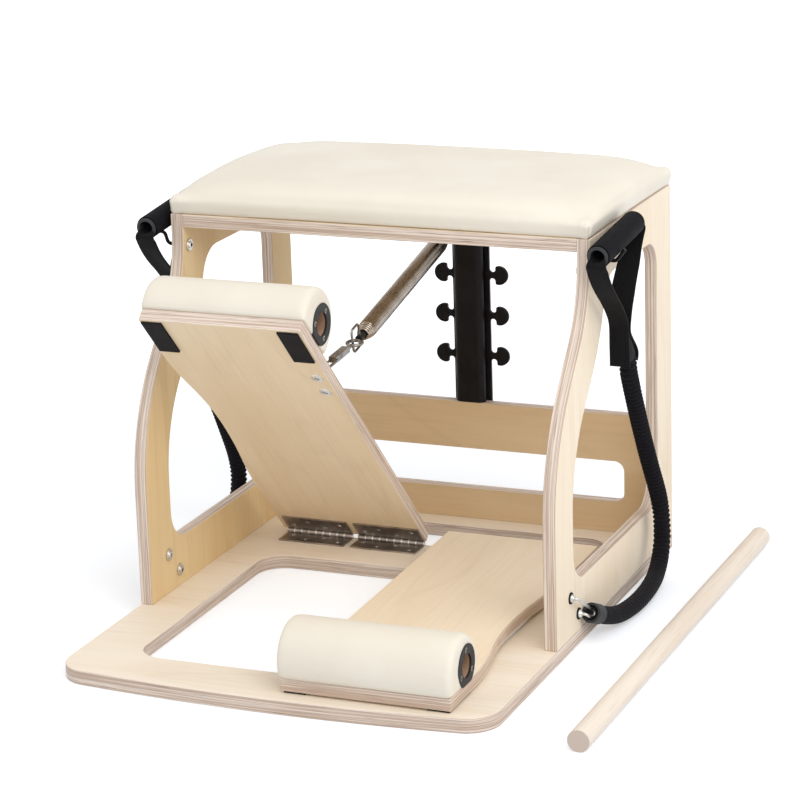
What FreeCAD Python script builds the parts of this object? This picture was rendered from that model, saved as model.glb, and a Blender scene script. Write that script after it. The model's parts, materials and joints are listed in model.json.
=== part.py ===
"""Split-pedal pilates chair in birch plywood, built as a parametric document (millimetres).

Frame: +X to the sitter's right as seen from the front, +Y to the back, +Z up.
The origin lies on the underside of the base, in the middle of the cross bar that carries the pedal hinges.
"""
import FreeCAD, Part
import math
import os

from FreeCAD import Placement, Rotation, Vector

# Driving dimensions
SIZES = {
    # base board
    "frame_width": 610.0,
    "base_thick": 20.0,
    "bar_depth": 102.0,
    "rear_gap": 98.0,
    "rear_rail": 54.0,
    "pedal_overlap": 65.0,
    "front_rail": 89.0,
    "front_bow": 14.0,
    "front_corner": 45.0,
    "opening_width": 452.0,
    "opening_corner": 40.0,
    "rear_opening_corner": 32.0,
    # side panels, seat board and rear panel
    "board_thick": 18.0,
    "panel_top": 540.0,
    "panel_depth": 354.0,
    "foot_reach": 150.0,
    "flare_start": 25.0,
    "flare_turn": 42.5,
    "flare_upper": 165.0,
    "flare_lower": 270.0,
    "leg_width": 70.0,
    "rear_leg": 66.0,
    "top_rail": 64.0,
    "foot_rail": 69.0,
    "window_top_front": 48.0,
    "window_top_rear": 40.0,
    "window_low_front": 44.0,
    "window_low_rear": 40.0,
    "rear_panel_height": 180.0,
    "slot_low": 47.0,
    "slot_height": 62.0,
    "slot_end": 49.0,
    "slot_corner": 15.0,
    # seat cushion
    "cushion_height": 44.5,
    "cushion_band": 17.5,
    "cushion_round": 35.0,
    "cushion_crown": 1.2,
    "cushion_foot": 1.0,
    "cushion_swell": 3.0,
    "cushion_draw": 2.0,
    "cushion_bow": 7.0,
    "cushion_front_corner": 4.0,
    "cushion_rear_corner": 6.0,
    "cushion_top_corner": 100.0,
    # spring post and hook plate
    "post_width": 45.0,
    "post_wall": 2.0,
    "plate_width": 57.0,
    "plate_thick": 4.0,
    "plate_lap": 60.0,
    "plate_seat_lap": 12.0,
    "hook_low": 268.0,
    "hook_pitch": 61.0,
    "hook_rows": 4,
    "hook_neck": 9.5,
    "hook_neck_height": 9.0,
    "hook_head": 14.0,
    "hook_head_depth": 19.0,
    "hook_ear": 2.5,
    # hinges
    "hinge_back": 41.0,
    "hinge_rise": 5.0,
    "hinge_margin": 16.0,
    "hinge_gap": 11.0,
    "hinge_inset": 2.0,
    "leaf_depth": 36.0,
    "leaf_thick": 2.5,
    "knuckle_radius": 4.4,
    "knuckle_count": 9,
    "knuckle_gap": 0.4,
    "leaf_setback": 5.4,
    "hinge_pin": 2.0,
    "pin_clearance": 0.05,
    # pedals
    "pedal_gap": 36.0,
    "pedal_side_gap": 36.0,
    "pedal_length": 586.0,
    "pedal_heel": 3.0,
    "pedal_lift": 45.55,
    "waist_depth": 20.0,
    "waist_front": 81.0,
    "waist_middle": 266.0,
    "waist_back": 486.0,
    "heel_inset": 6.0,
    "bumper_width": 30.0,
    "bumper_length": 73.0,
    "bumper_thick": 3.0,
    "bumper_margin": 3.0,
    "bumper_inset": 3.0,
    "bumper_seat": 0.1,
    # padded roller
    "roller_back": 51.0,
    "roller_rise": 25.0,
    "roller_pad": 50.0,
    "roller_wall": 19.0,
    "roller_lead": 9.5,
    "roller_edge": 9.0,
    "roller_overhang": 3.0,
    "core_radius": 23.5,
    "core_bore": 16.0,
    "cap_radius": 28.5,
    "cap_thick": 3.0,
    "cap_screw_circle": 20.8,
    "cap_screw_count": 3,
    # spring saddle
    "chain_inset": 33.5,
    "saddle_back": 139.5,
    "saddle_span": 37.0,
    "saddle_wire": 2.5,
    "saddle_rise": 13.0,
    "saddle_nut": 9.0,
    "saddle_nut_thick": 3.0,
    # spring, link ring and snap
    "chain_bend_angle": 7.906586,
    "coil_radius": 12.0,
    "coil_end_radius": 7.2,
    "coil_wire": 1.45,
    "coil_pitch": 3.4,
    "coil_clear": 8.0,
    "coil_taper_turns": 7,
    "coil_start": 25.0,
    "hook_ring_bore": 5.7,
    "hook_ring_wire": 1.75,
    "hook_shank": 2.6,
    "plug_radius": 5.3,
    "plug_length": 14.0,
    "plug_hole": 2.0,
    "plug_nose": 2.2,
    "ring_wire": 1.75,
    "ring_along": 21.0,
    "ring_above": 9.0,
    "ring_below": 21.0,
    "ring_corner": 6.0,
    "ring_play": 4.0,
    "snap_reach": 104.0,
    "snap_eye": 10.6,
    "snap_eye_wire": 2.25,
    "snap_jaw": 5.2,
    "snap_wire": 2.0,
    "snap_jaw_back": 9.1,
    "snap_jaw_root": 12.0,
    "snap_jaw_shoulder": 6.0,
    "snap_tip": 7.0,
    "snap_block_start": 22.0,
    "snap_block_end": 68.0,
    "snap_block_bolt_side": 7.8,
    "snap_block_spine_side": 3.8,
    "snap_block_thick": 8.0,
    "snap_neck": 2.5,
    "snap_neck_seat": 12.0,
    "snap_bolt": 1.6,
    "snap_bolt_back": 50.0,
    "snap_knob": 1.6,
    "snap_knob_station": 33.0,
    "snap_knob_length": 10.0,
    "snap_travel": 9.0,
    # handles
    "handle_out": 22.0,
    "grip_radius": 16.0,
    "grip_bore": 12.0,
    "grip_tube_wall": 1.5,
    "grip_length": 148.0,
    "grip_tube_length": 156.0,
    "grip_middle": -106.0,
    "grip_height": 532.0,
    "grip_tilt": 5.1,
    "strap_width": 28.0,
    "strap_inner_width": 13.0,
    "strap_thick": 2.4,
    "strap_drop": 6.0,
    "strap_bend": 4.0,
    "strap_reach": 12.0,
    "strap_foot": 12.0,
    "sleeve_back": -63.0,
    "sleeve_lean": 29.0,
    "sleeve_front": 25.0,
    "sleeve_corner": 2.0,
    "sleeve_top": 412.0,
    "sleeve_low": 352.0,
    "sleeve_neck": 9.0,
    "sleeve_wall": 2.0,
    "sleeve_socket": 16.0,
    "cord_diameter": 25.0,
    "cord_bend": 400.0,
    "ferrule_radius": 14.0,
    "ferrule_mouth": 10.5,
    "ferrule_depth": 12.0,
    "ferrule_length": 19.0,
    # handle hook and cord loop on the side panel
    "hook_wire": 2.5,
    "hook_bend": 7.0,
    "hook_arm": 13.0,
    "hook_knee": 18.0,
    "hook_cradle": 10.0,
    "hook_tip_reach": 22.0,
    "hook_tip_rise": 16.0,
    "hook_flange": 8.0,
    "hook_flange_thick": 3.0,
    "hook_bolt_back": -136.0,
    "hook_bolt_height": 494.0,
    "hook_seat_gap": 0.3,
    "loop_wire": 2.0,
    "loop_bend": 5.0,
    "loop_half": 5.0,
    "loop_dome": 5.5,
    "loop_washer": 8.0,
    "loop_washer_thick": 1.5,
    "loop_upper_back": -246.0,
    "loop_upper_height": 76.0,
    "loop_lower_back": -215.0,
    "loop_lower_height": 44.0,
    "stud_radius": 3.0,
    "nut_radius": 8.5,
    "nut_thick": 2.5,
    # screws
    "screw_radius": 2.0,
    "screw_head": 4.0,
    "screw_head_depth": 2.2,
    "screw_length": 13.0,
    "frame_screw_radius": 2.5,
    "frame_screw_head": 5.0,
    "frame_screw_length": 60.0,
    "screw_clearance": 0.05,
    "fit_gap": 0.3,
    # wooden bar
    "bar_radius": 14.5,
    "bar_length": 810.0,
    "bar_side": 120.0,
    "bar_middle": -160.0,
}

doc = FreeCAD.newDocument("pilates_chair")
sheet = doc.addObject("Spreadsheet::Sheet", "Sizes")
for row, (alias, number) in enumerate(SIZES.items(), start=1):
    sheet.set(f"A{row}", alias)
    sheet.set(f"B{row}", str(number))
    sheet.setAlias(f"B{row}", alias)
doc.recompute()

nodes = []
X_AXIS = Vector(1, 0, 0)
Y_AXIS = Vector(0, 1, 0)
Z_AXIS = Vector(0, 0, 1)


def size(alias):
    """Number in the sheet's cell with this alias."""
    return float(sheet.get(alias))


def keep(obj):
    """Mark an object as one of the chair's pieces; its Label names its file."""
    nodes.append(obj)
    return obj


def at(x=0.0, y=0.0, z=0.0, axis=Z_AXIS, angle=0.0):
    return Placement(Vector(x, y, z), Rotation(axis, angle))


def along(point, direction):
    """Placement whose local Z runs along a direction from a point."""
    return Placement(point, Rotation(Z_AXIS, direction))


def primitive(kind, label, place, **sizes):
    """Part primitive whose sizes are bound to the sheet."""
    obj = doc.addObject("Part::" + kind, label)
    for name, expression in sizes.items():
        obj.setExpression(name, expression)
    obj.Placement = place
    return obj


def box(label, place, length, width, height):
    return primitive("Box", label, place, Length=length, Width=width, Height=height)


def rod(label, place, radius, height):
    return primitive("Cylinder", label, place, Radius=radius, Height=height)


def disc_cone(label, place, radius_low, radius_high, height):
    return primitive("Cone", label, place, Radius1=radius_low, Radius2=radius_high, Height=height)


def fuse(label, parts):
    obj = doc.addObject("Part::MultiFuse", label)
    obj.Shapes = parts
    obj.Refine = True
    return obj


def group(label, parts):
    obj = doc.addObject("Part::Compound", label)
    obj.Links = parts
    return obj


def cut(label, base, tools):
    obj = doc.addObject("Part::Cut", label)
    obj.Base = base
    obj.Tool = tools[0] if len(tools) == 1 else group(label + "_tools", tools)
    return obj


def set_shape(label, shape, place=None):
    """Plain feature for shapes that neither sketches nor primitives make."""
    obj = doc.addObject("Part::Feature", label)
    obj.Shape = shape
    if place is not None:
        obj.Placement = place
    return obj


def copies(label, master, places):
    """Group of separate solids, one copy of the master at each placement."""
    doc.recompute()
    solids = []
    for place in places:
        solid = master.Shape.copy()
        solid.Placement = place.multiply(solid.Placement)
        solids.append(solid)
    return set_shape(label, Part.makeCompound(solids))


def lines(points):
    """Closed run of straight sketch lines through (a, b) points."""
    corners = [Vector(a, b, 0) for a, b in points]
    return [Part.LineSegment(p, q) for p, q in zip(corners, corners[1:] + corners[:1])]


def rounded(points, radii):
    """Closed outline of lines whose corners are tangent arcs."""
    corners = [Vector(a, b, 0) for a, b in points]
    count = len(corners)
    ends = []
    for i, corner in enumerate(corners):
        before = (corners[i - 1] - corner).normalize()
        after = (corners[(i + 1) % count] - corner).normalize()
        half = before.getAngle(after) / 2
        reach = radii[i] / math.tan(half)
        middle = (before + after).normalize()
        top = corner + middle * (radii[i] / math.sin(half) - radii[i])
        ends.append((corner + before * reach, top, corner + after * reach))
    edges = []
    for i, (start, top, end) in enumerate(ends):
        edges.append(Part.Arc(start, top, end))
        following = ends[(i + 1) % count][0]
        if end.distanceToPoint(following) > 1e-6:
            edges.append(Part.LineSegment(end, following))
    return edges


def arc(start, middle, end):
    return Part.Arc(Vector(*start, 0), Vector(*middle, 0), Vector(*end, 0))


def line(start, end):
    return Part.LineSegment(Vector(*start, 0), Vector(*end, 0))


def padded_sketch(label, role, edges, length, place=None, midplane=False):
    """Body with one sketch on an origin plane and one pad whose length is bound to the sheet."""
    body = doc.addObject("PartDesign::Body", label)
    sketch = body.newObject("Sketcher::SketchObject", label + "_sketch")
    plane = [f for f in body.Origin.OriginFeatures if f.Role == role][0]
    sketch.AttachmentSupport = [(plane, "")]
    sketch.MapMode = "FlatFace"
    sketch.addGeometry(edges, False)
    pad = body.newObject("PartDesign::Pad", label + "_pad")
    pad.Profile = sketch
    pad.setExpression("Length", length)
    pad.Midplane = midplane
    body.Tip = pad
    if place is not None:
        body.Placement = place
    return body


def fillet(label, base, radius, wanted):
    """Round the edges of an object that a test picks."""
    doc.recompute()
    chosen = [i for i, edge in enumerate(base.Shape.Edges, start=1) if wanted(edge)]
    obj = doc.addObject("Part::Fillet", label)
    obj.Base = base
    obj.Edges = [(i, radius, radius) for i in chosen]
    return obj


def tube_path(points, radii):
    """Straight runs joined by tangent arcs; returns the wire and its length."""
    corners = [Vector(*p) for p in points]
    edges = []
    start = corners[0]
    for i in range(1, len(corners) - 1):
        before = (corners[i - 1] - corners[i]).normalize()
        after = (corners[i + 1] - corners[i]).normalize()
        half = before.getAngle(after) / 2
        reach = radii[i - 1] / math.tan(half)
        first = corners[i] + before * reach
        last = corners[i] + after * reach
        middle = corners[i] + (before + after).normalize() * (radii[i - 1] / math.sin(half) - radii[i - 1])
        if start.distanceToPoint(first) > 1e-6:
            edges.append(Part.makeLine(start, first))
        edges.append(Part.Arc(first, middle, last).toShape())
        start = last
    edges.append(Part.makeLine(start, corners[-1]))
    wire = Part.Wire(edges)
    return wire, sum(edge.Length for edge in edges)


def bend_radii(points, largest):
    """Bends as wide as the runs allow, up to a limit."""
    corners = [Vector(*p) for p in points]
    radii = []
    for i in range(1, len(corners) - 1):
        before = corners[i - 1] - corners[i]
        after = corners[i + 1] - corners[i]
        reach = 0.45 * min(before.Length, after.Length)
        radii.append(min(largest, reach * math.tan(before.getAngle(after) / 2)))
    return radii


def swept(wire, radius):
    """Round solid along a smooth wire."""
    first = wire.OrderedEdges[0]
    start = first.valueAt(first.FirstParameter)
    direction = first.tangentAt(first.FirstParameter)
    if (start - wire.OrderedVertexes[0].Point).Length > 1e-6:
        start = first.valueAt(first.LastParameter)
        direction = first.tangentAt(first.LastParameter) * -1
    profile = Part.Wire([Part.makeCircle(radius, start, direction)])
    shell = Part.BRepOffsetAPI.MakePipeShell(wire)
    shell.add(profile)
    shell.build()
    shell.makeSolid()
    return shell.shape()


def closed_ring(label, edges, wire_radius):
    """Wire bent to a closed outline."""
    path = Part.Wire(Part.__sortEdges__([edge.toShape() for edge in edges]))
    return swept(path, wire_radius)


# Main stations
half_width = size("frame_width") / 2
thick = size("board_thick")
base_top = size("base_thick")
panel_top = size("panel_top")
bar_half = size("bar_depth") / 2
rear = bar_half + size("rear_gap") + size("rear_rail")
opening_front = size("hinge_back") - size("pedal_length") + size("pedal_overlap")
base_front = opening_front - size("front_rail")
top_front = rear - size("panel_depth")
foot_front = top_front - size("foot_reach")
SIDES = {"left": -1, "right": 1}


# Base board: flat ring with a bowed front edge, a front and a rear opening
def base_outline():
    bow = size("front_bow")
    corner = size("front_corner")
    side_front = base_front + bow
    diagonal = corner * (1 - math.sqrt(0.5))
    return [
        line((half_width, rear), (-half_width, rear)),
        line((-half_width, rear), (-half_width, side_front + corner)),
        arc((-half_width, side_front + corner), (-half_width + diagonal, side_front + diagonal),
            (-half_width + corner, side_front)),
        arc((-half_width + corner, side_front), (0, base_front), (half_width - corner, side_front)),
        arc((half_width - corner, side_front), (half_width - diagonal, side_front + diagonal),
            (half_width, side_front + corner)),
        line((half_width, side_front + corner), (half_width, rear)),
    ]


def opening_outline(low, high, corner):
    half = size("opening_width") / 2
    return rounded([(-half, low), (half, low), (half, high), (-half, high)], [corner] * 4)


base_blank = padded_sketch(
    "base_blank", "XY_Plane",
    base_outline()
    + opening_outline(opening_front, -bar_half, size("opening_corner"))
    + opening_outline(bar_half, bar_half + size("rear_gap"), size("rear_opening_corner")),
    "Sizes.base_thick")


# Side panels: flared front edge, one large window that keeps the legs' width
def flare_points(inset):
    """Arc ends of the front edge, moved inwards: vertical top, slanted run, vertical foot."""
    turn = math.radians(size("flare_turn"))
    upper = size("flare_upper")
    lower = size("flare_lower")
    slant = (size("foot_reach") - (upper + lower) * (1 - math.cos(turn))) / math.sin(turn)
    upper_centre = (top_front - upper, panel_top - size("flare_start"))
    outer_end = (upper_centre[0] + upper * math.cos(turn), upper_centre[1] - upper * math.sin(turn))
    lower_start = (outer_end[0] - slant * math.sin(turn), outer_end[1] - slant * math.cos(turn))
    lower_centre = (lower_start[0] + lower * math.cos(turn), lower_start[1] - lower * math.sin(turn))
    big = upper + inset
    small = lower - inset

    def on_upper(angle):
        return (upper_centre[0] + big * math.cos(angle), upper_centre[1] - big * math.sin(angle))

    def on_lower(angle):
        return (lower_centre[0] - small * math.cos(angle), lower_centre[1] + small * math.sin(angle))

    return on_upper, on_lower, turn


def panel_outline():
    on_upper, on_lower, turn = flare_points(0.0)
    return [
        line((rear, base_top), (rear, panel_top)),
        line((rear, panel_top), (top_front, panel_top)),
        line((top_front, panel_top), on_upper(0)),
        arc(on_upper(0), on_upper(turn / 2), on_upper(turn)),
        line(on_upper(turn), on_lower(turn)),
        arc(on_lower(turn), on_lower(turn / 2), on_lower(0)),
        line(on_lower(0), (foot_front, base_top)),
        line((foot_front, base_top), (rear, base_top)),
    ]


def window_outline():
    """Window edges; its front follows the flare at the legs' width."""
    inset = size("leg_width")
    on_upper, on_lower, turn = flare_points(inset)
    top = panel_top - size("top_rail")
    low = base_top + size("foot_rail")
    back = rear - size("rear_leg")
    front = foot_front + inset
    corner = size("window_top_front")
    # The top front corner is tangent to the window's top and to the flare's upper arc.
    upper = size("flare_upper") + inset
    centre = (top_front - size("flare_upper"), panel_top - size("flare_start"))
    corner_height = top - corner
    drop = centre[1] - corner_height
    corner_back = centre[0] + math.sqrt((upper + corner) ** 2 - drop ** 2)
    touch = math.atan2(drop, corner_back - centre[0])
    half_turn = (math.pi / 2 + math.pi - touch) / 2
    corner_middle = (corner_back + corner * math.cos(half_turn), corner_height + corner * math.sin(half_turn))
    rear_corner = size("window_top_rear")
    low_rear = size("window_low_rear")
    low_front = size("window_low_front")
    bite = 1 - math.sqrt(0.5)
    return [
        line((corner_back, top), (back - rear_corner, top)),
        arc((back - rear_corner, top), (back - rear_corner * bite, top - rear_corner * bite),
            (back, top - rear_corner)),
        line((back, top - rear_corner), (back, low + low_rear)),
        arc((back, low + low_rear), (back - low_rear * bite, low + low_rear * bite), (back - low_rear, low)),
        line((back - low_rear, low), (front + low_front, low)),
        arc((front + low_front, low), (front + low_front * bite, low + low_front * bite),
            (front, low + low_front)),
        line((front, low + low_front), on_lower(0)),
        arc(on_lower(0), on_lower(turn / 2), on_lower(turn)),
        line(on_lower(turn), on_upper(turn)),
        arc(on_upper(turn), on_upper((turn + touch) / 2), on_upper(touch)),
        arc(on_upper(touch), corner_middle, (corner_back, top)),
    ]


panel_blanks = {}
for side, sign in SIDES.items():
    panel_x = -half_width if sign < 0 else half_width - thick
    panel_blanks[side] = padded_sketch(side + "_panel_blank", "YZ_Plane", panel_outline() + window_outline(),
                                       "Sizes.board_thick", at(panel_x))

# Seat board between the side panels, flush with their tops
seat_blank = box("seat_blank", at(-half_width + thick, top_front, panel_top - thick),
                 "Sizes.frame_width - 2 * Sizes.board_thick", "Sizes.panel_depth", "Sizes.board_thick")

# Rear panel: low board with one long slot, flush with the rear edges
slot_half = half_width - thick - size("slot_end")
slot_low = base_top + size("slot_low")
slot_high = slot_low + size("slot_height")
rear_top = base_top + size("rear_panel_height")
rear_blank = padded_sketch(
    "rear_blank", "XZ_Plane",
    lines([(-half_width + thick, base_top), (half_width - thick, base_top),
           (half_width - thick, rear_top), (-half_width + thick, rear_top)])
    + rounded([(-slot_half, slot_low), (slot_half, slot_low),
               (slot_half, slot_high), (-slot_half, slot_high)],
              [size("slot_corner")] * 4),
    "Sizes.board_thick", at(0, rear, 0))


# Countersunk wood screws: one master each, and one master of its hole
def screw_master(label, radius, head, length, spare=""):
    """Screw pointing down from its flush head at z = 0; a hole has spare room all round."""
    head_part = disc_cone(label + "_head", at(0, 0, -size("screw_head_depth")), radius + spare, head + spare,
                          "Sizes.screw_head_depth")
    shank = rod(label + "_shank", at(axis=X_AXIS, angle=180), radius + spare, length + spare)
    return fuse(label, [head_part, shank])


SPARE = " + Sizes.screw_clearance"
leaf_screw = screw_master("leaf_screw", "Sizes.screw_radius", "Sizes.screw_head", "Sizes.screw_length")
leaf_hole = screw_master("leaf_hole", "Sizes.screw_radius", "Sizes.screw_head", "Sizes.screw_length", SPARE)
frame_screw = screw_master("frame_screw", "Sizes.frame_screw_radius", "Sizes.frame_screw_head",
                           "Sizes.frame_screw_length")
frame_hole = screw_master("frame_hole", "Sizes.frame_screw_radius", "Sizes.frame_screw_head",
                          "Sizes.frame_screw_length", SPARE)


def facing(x, y, z, direction):
    """Placement that turns a screw master so that its head looks along a direction."""
    return Placement(Vector(x, y, z), Rotation(Z_AXIS, direction))


# Frame screws come up through the base into the side panels and the rear panel
panel_middle = half_width - thick / 2
FOOT_SCREW_SHARES = (0.12, 0.5, 0.88)
frame_places = []
for sign in SIDES.values():
    for share in FOOT_SCREW_SHARES:
        along_foot = foot_front + share * (rear - foot_front)
        frame_places.append(facing(sign * panel_middle, along_foot, 0, Vector(0, 0, -1)))
for sign in SIDES.values():
    frame_places.append(facing(sign * half_width / 2, rear - thick / 2, 0, Vector(0, 0, -1)))

# Hook plate fixings: through the plate into the rear panel and into the seat board's rear edge
plate_back = rear + size("plate_thick")
plate_low = rear_top - size("plate_lap")
plate_high = panel_top - thick + size("plate_seat_lap")
plate_screw_x = size("plate_width") / 4
plate_places = []
for sign in SIDES.values():
    for height in (rear_top - size("plate_lap") / 2, panel_top - thick / 2 - 1.5):
        plate_places.append(facing(sign * plate_screw_x, plate_back, height, Y_AXIS))

# Hinge leaves on the base: stations along X, the same for both pedals by mirror
hinge_y = size("hinge_back")
hinge_z = base_top + size("hinge_rise")
pedal_inner = size("pedal_gap") / 2
pedal_width = half_width - thick - pedal_inner - size("pedal_side_gap")
hinge_length = (pedal_width - size("hinge_inset") - size("hinge_gap") - size("hinge_margin")) / 2
# The same two lengths as the sheet's cells give them
PEDAL_WIDTH = "(Sizes.frame_width / 2 - Sizes.board_thick - Sizes.pedal_gap / 2 - Sizes.pedal_side_gap)"
HINGE_LENGTH = f"(({PEDAL_WIDTH} - Sizes.hinge_inset - Sizes.hinge_gap - Sizes.hinge_margin) / 2)"
hinge_starts = []
for index in range(2):
    hinge_starts.append(pedal_inner + size("hinge_inset") + index * (hinge_length + size("hinge_gap")))
LEAF_SCREW_SHARES = ((0.12, 0.75), (0.38, 0.42), (0.62, 0.75), (0.88, 0.42))


def leaf_screw_spots(sign):
    """(x, distance from the hinge axis) of each screw in a pedal's two leaves."""
    spots = []
    for start in hinge_starts:
        for share, depth in LEAF_SCREW_SHARES:
            spots.append((sign * (start + share * hinge_length), depth * size("leaf_depth")))
    return spots


leaf_thick = size("leaf_thick")
base_leaf_places = []
for sign in SIDES.values():
    for x, reach in leaf_screw_spots(sign):
        base_leaf_places.append(facing(x, hinge_y - reach, base_top + leaf_thick, Z_AXIS))

base_board = keep(cut("base_board", base_blank, [
    copies("base_frame_holes", frame_hole, frame_places),
    copies("base_leaf_holes", leaf_hole, base_leaf_places)]))
keep(copies("frame_screws", frame_screw, frame_places))
keep(copies("hinge_base_screws", leaf_screw, base_leaf_places))
keep(cut("rear_panel", rear_blank, [
    copies("rear_frame_holes", frame_hole, frame_places),
    copies("rear_plate_holes", leaf_hole, plate_places)]))
keep(cut("seat_board", seat_blank, [copies("seat_plate_holes", leaf_hole, plate_places)]))
keep(copies("plate_screws", leaf_screw, plate_places))

# Side panel fixings: one stud for the handle hook and two for the cord loop
STUDS = {
    "hook": (size("hook_bolt_back"), size("hook_bolt_height")),
    "loop_upper": (size("loop_upper_back"), size("loop_upper_height")),
    "loop_lower": (size("loop_lower_back"), size("loop_lower_height")),
}
for side, sign in SIDES.items():
    holes = []
    for name, (y, z) in STUDS.items():
        hole_start = Vector(sign * (half_width - 2 * thick), y, z)
        holes.append(rod(f"{side}_{name}_hole", along(hole_start, X_AXIS * sign),
                         "Sizes.stud_radius + Sizes.screw_clearance", "3 * Sizes.board_thick"))
    holes.append(copies(side + "_foot_holes", frame_hole, frame_places))
    keep(cut(side + "_side_panel", panel_blanks[side], holes))

# Spring post: flat oval tube on the rear panel's top edge, up to the seat board
post_half = size("post_width") / 2


def oval(half_long, half_short):
    flat = half_long - half_short
    return [
        line((-flat, -half_short), (flat, -half_short)),
        arc((flat, -half_short), (half_long, 0), (flat, half_short)),
        line((flat, half_short), (-flat, half_short)),
        arc((-flat, half_short), (-half_long, 0), (-flat, -half_short)),
    ]


keep(padded_sketch(
    "spring_post", "XY_Plane",
    oval(post_half, thick / 2) + oval(post_half - size("post_wall"), thick / 2 - size("post_wall")),
    "Sizes.panel_top - Sizes.board_thick - Sizes.base_thick - Sizes.rear_panel_height",
    at(0, rear - thick / 2, rear_top)))


# Hook plate: one flat plate with mushroom hooks along both edges
def hook_plate_outline():
    edge = size("plate_width") / 2
    notch = size("hook_neck") / 2
    neck_end = edge + size("hook_neck")
    notch_drop = size("hook_neck_height") / 2 + notch
    head = size("hook_head")
    ear = size("hook_ear")
    tip = neck_end + size("hook_head_depth")
    centre = tip - head
    # The ear is a small arc, tangent to the head and to the head's straight inner edge.
    ear_side = neck_end + ear - centre
    ear_drop = math.sqrt((head - ear) ** 2 - ear_side ** 2)
    meet = (centre + ear_side * head / (head - ear), ear_drop * head / (head - ear))
    ear_turn = (math.pi + math.atan2(ear_drop, ear_side)) / 2
    ear_top = (neck_end + ear + ear * math.cos(ear_turn), ear_drop + ear * math.sin(ear_turn))
    heights = [size("hook_low") + i * size("hook_pitch") for i in range(int(size("hook_rows")))]

    def edge_side(sign, order):
        run = []
        start = (sign * edge, plate_low if order > 0 else plate_high)
        for z in (heights if order > 0 else heights[::-1]):
            def spot(x, drop):
                return (sign * x, z + order * drop)

            run.append(line(start, spot(edge, -notch_drop)))
            run.append(arc(spot(edge, -notch_drop), spot(edge + notch, notch - notch_drop),
                           spot(neck_end, -notch_drop)))
            run.append(line(spot(neck_end, -notch_drop), spot(neck_end, -ear_drop)))
            run.append(arc(spot(neck_end, -ear_drop), spot(ear_top[0], -ear_top[1]), spot(meet[0], -meet[1])))
            run.append(arc(spot(meet[0], -meet[1]), spot(tip, 0), spot(*meet)))
            run.append(arc(spot(*meet), spot(*ear_top), spot(neck_end, ear_drop)))
            run.append(line(spot(neck_end, ear_drop), spot(neck_end, notch_drop)))
            run.append(arc(spot(neck_end, notch_drop), spot(edge + notch, notch_drop - notch),
                           spot(edge, notch_drop)))
            start = spot(edge, notch_drop)
        run.append(line(start, (sign * edge, plate_high if order > 0 else plate_low)))
        return run

    return (edge_side(1, 1) + [line((edge, plate_high), (-edge, plate_high))]
            + edge_side(-1, -1) + [line((-edge, plate_low), (edge, plate_low))])


hook_plate_blank = padded_sketch("hook_plate_blank", "XZ_Plane", hook_plate_outline(), "Sizes.plate_thick",
                                 at(0, plate_back, 0))
keep(cut("hook_plate", hook_plate_blank, [copies("hook_plate_holes", leaf_hole, plate_places)]))


# Seat cushion: crowned loft whose sides draw in low down between sharp corners and bow out higher up
def cushion_section(height, inset, climb):
    front = top_front + inset
    back = rear - inset
    side = half_width - inset
    top_corner = size("cushion_top_corner")
    draw = size("cushion_draw") - climb * (size("cushion_draw") + size("cushion_bow"))
    front_corner = size("cushion_front_corner") + climb * (top_corner - size("cushion_front_corner"))
    rear_corner = size("cushion_rear_corner") + climb * (top_corner - size("cushion_rear_corner"))
    bite = 1 - math.sqrt(0.5)

    def point(x, y):
        return Vector(x, y, height)

    def corner(x, y, turn_x, turn_y, radius):
        return (point(x + turn_x * radius, y), point(x + turn_x * radius * bite, y + turn_y * radius * bite),
                point(x, y + turn_y * radius))

    front_left = corner(-side, front, 1, 1, front_corner)
    front_right = corner(side, front, -1, 1, front_corner)
    rear_right = corner(side, back, -1, -1, rear_corner)
    rear_left = corner(-side, back, 1, -1, rear_corner)
    edges = [
        Part.Arc(front_left[2], front_left[1], front_left[0]),
        Part.Arc(front_left[0], point(0, front + draw), front_right[0]),
        Part.Arc(front_right[0], front_right[1], front_right[2]),
        Part.Arc(front_right[2], point(side - draw, (front + back) / 2), rear_right[2]),
        Part.Arc(rear_right[2], rear_right[1], rear_right[0]),
        Part.Arc(rear_right[0], point(0, back - draw), rear_left[0]),
        Part.Arc(rear_left[0], rear_left[1], rear_left[2]),
        Part.Arc(rear_left[2], point(-side + draw, (front + back) / 2), front_left[2]),
    ]
    return Part.Wire([edge.toShape() for edge in edges])


# Swelling band with a drawn-in foot, then a quarter of an oval, and a gentle crown on top
ROUND_TURNS = (0, 20, 40, 60, 78)
CROWN_SHARES = ((0.7, 1.2), (1.0, 1.8))
band = size("cushion_band")
round_depth = size("cushion_round")
round_rise = size("cushion_height") - band - size("cushion_crown")
swell = size("cushion_swell")
sides = [cushion_section(panel_top, size("cushion_foot"), 0),
         cushion_section(panel_top + band / 2, -swell / 2, 0)]
for degrees in ROUND_TURNS:
    turn = math.radians(degrees)
    sides.append(cushion_section(panel_top + band + round_rise * math.sin(turn),
                                 round_depth * (1 - math.cos(turn)) - swell, math.sin(turn)))
crown = sides[-1:]
for share, inset in CROWN_SHARES:
    crown.append(cushion_section(panel_top + band + round_rise + size("cushion_crown") * share,
                                 round_depth * inset - swell, math.sin(turn)))
cushion = Part.makeLoft(sides, True, False).fuse(Part.makeLoft(crown, True, False))
keep(set_shape("seat_cushion", cushion))
doc.recompute()


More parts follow.
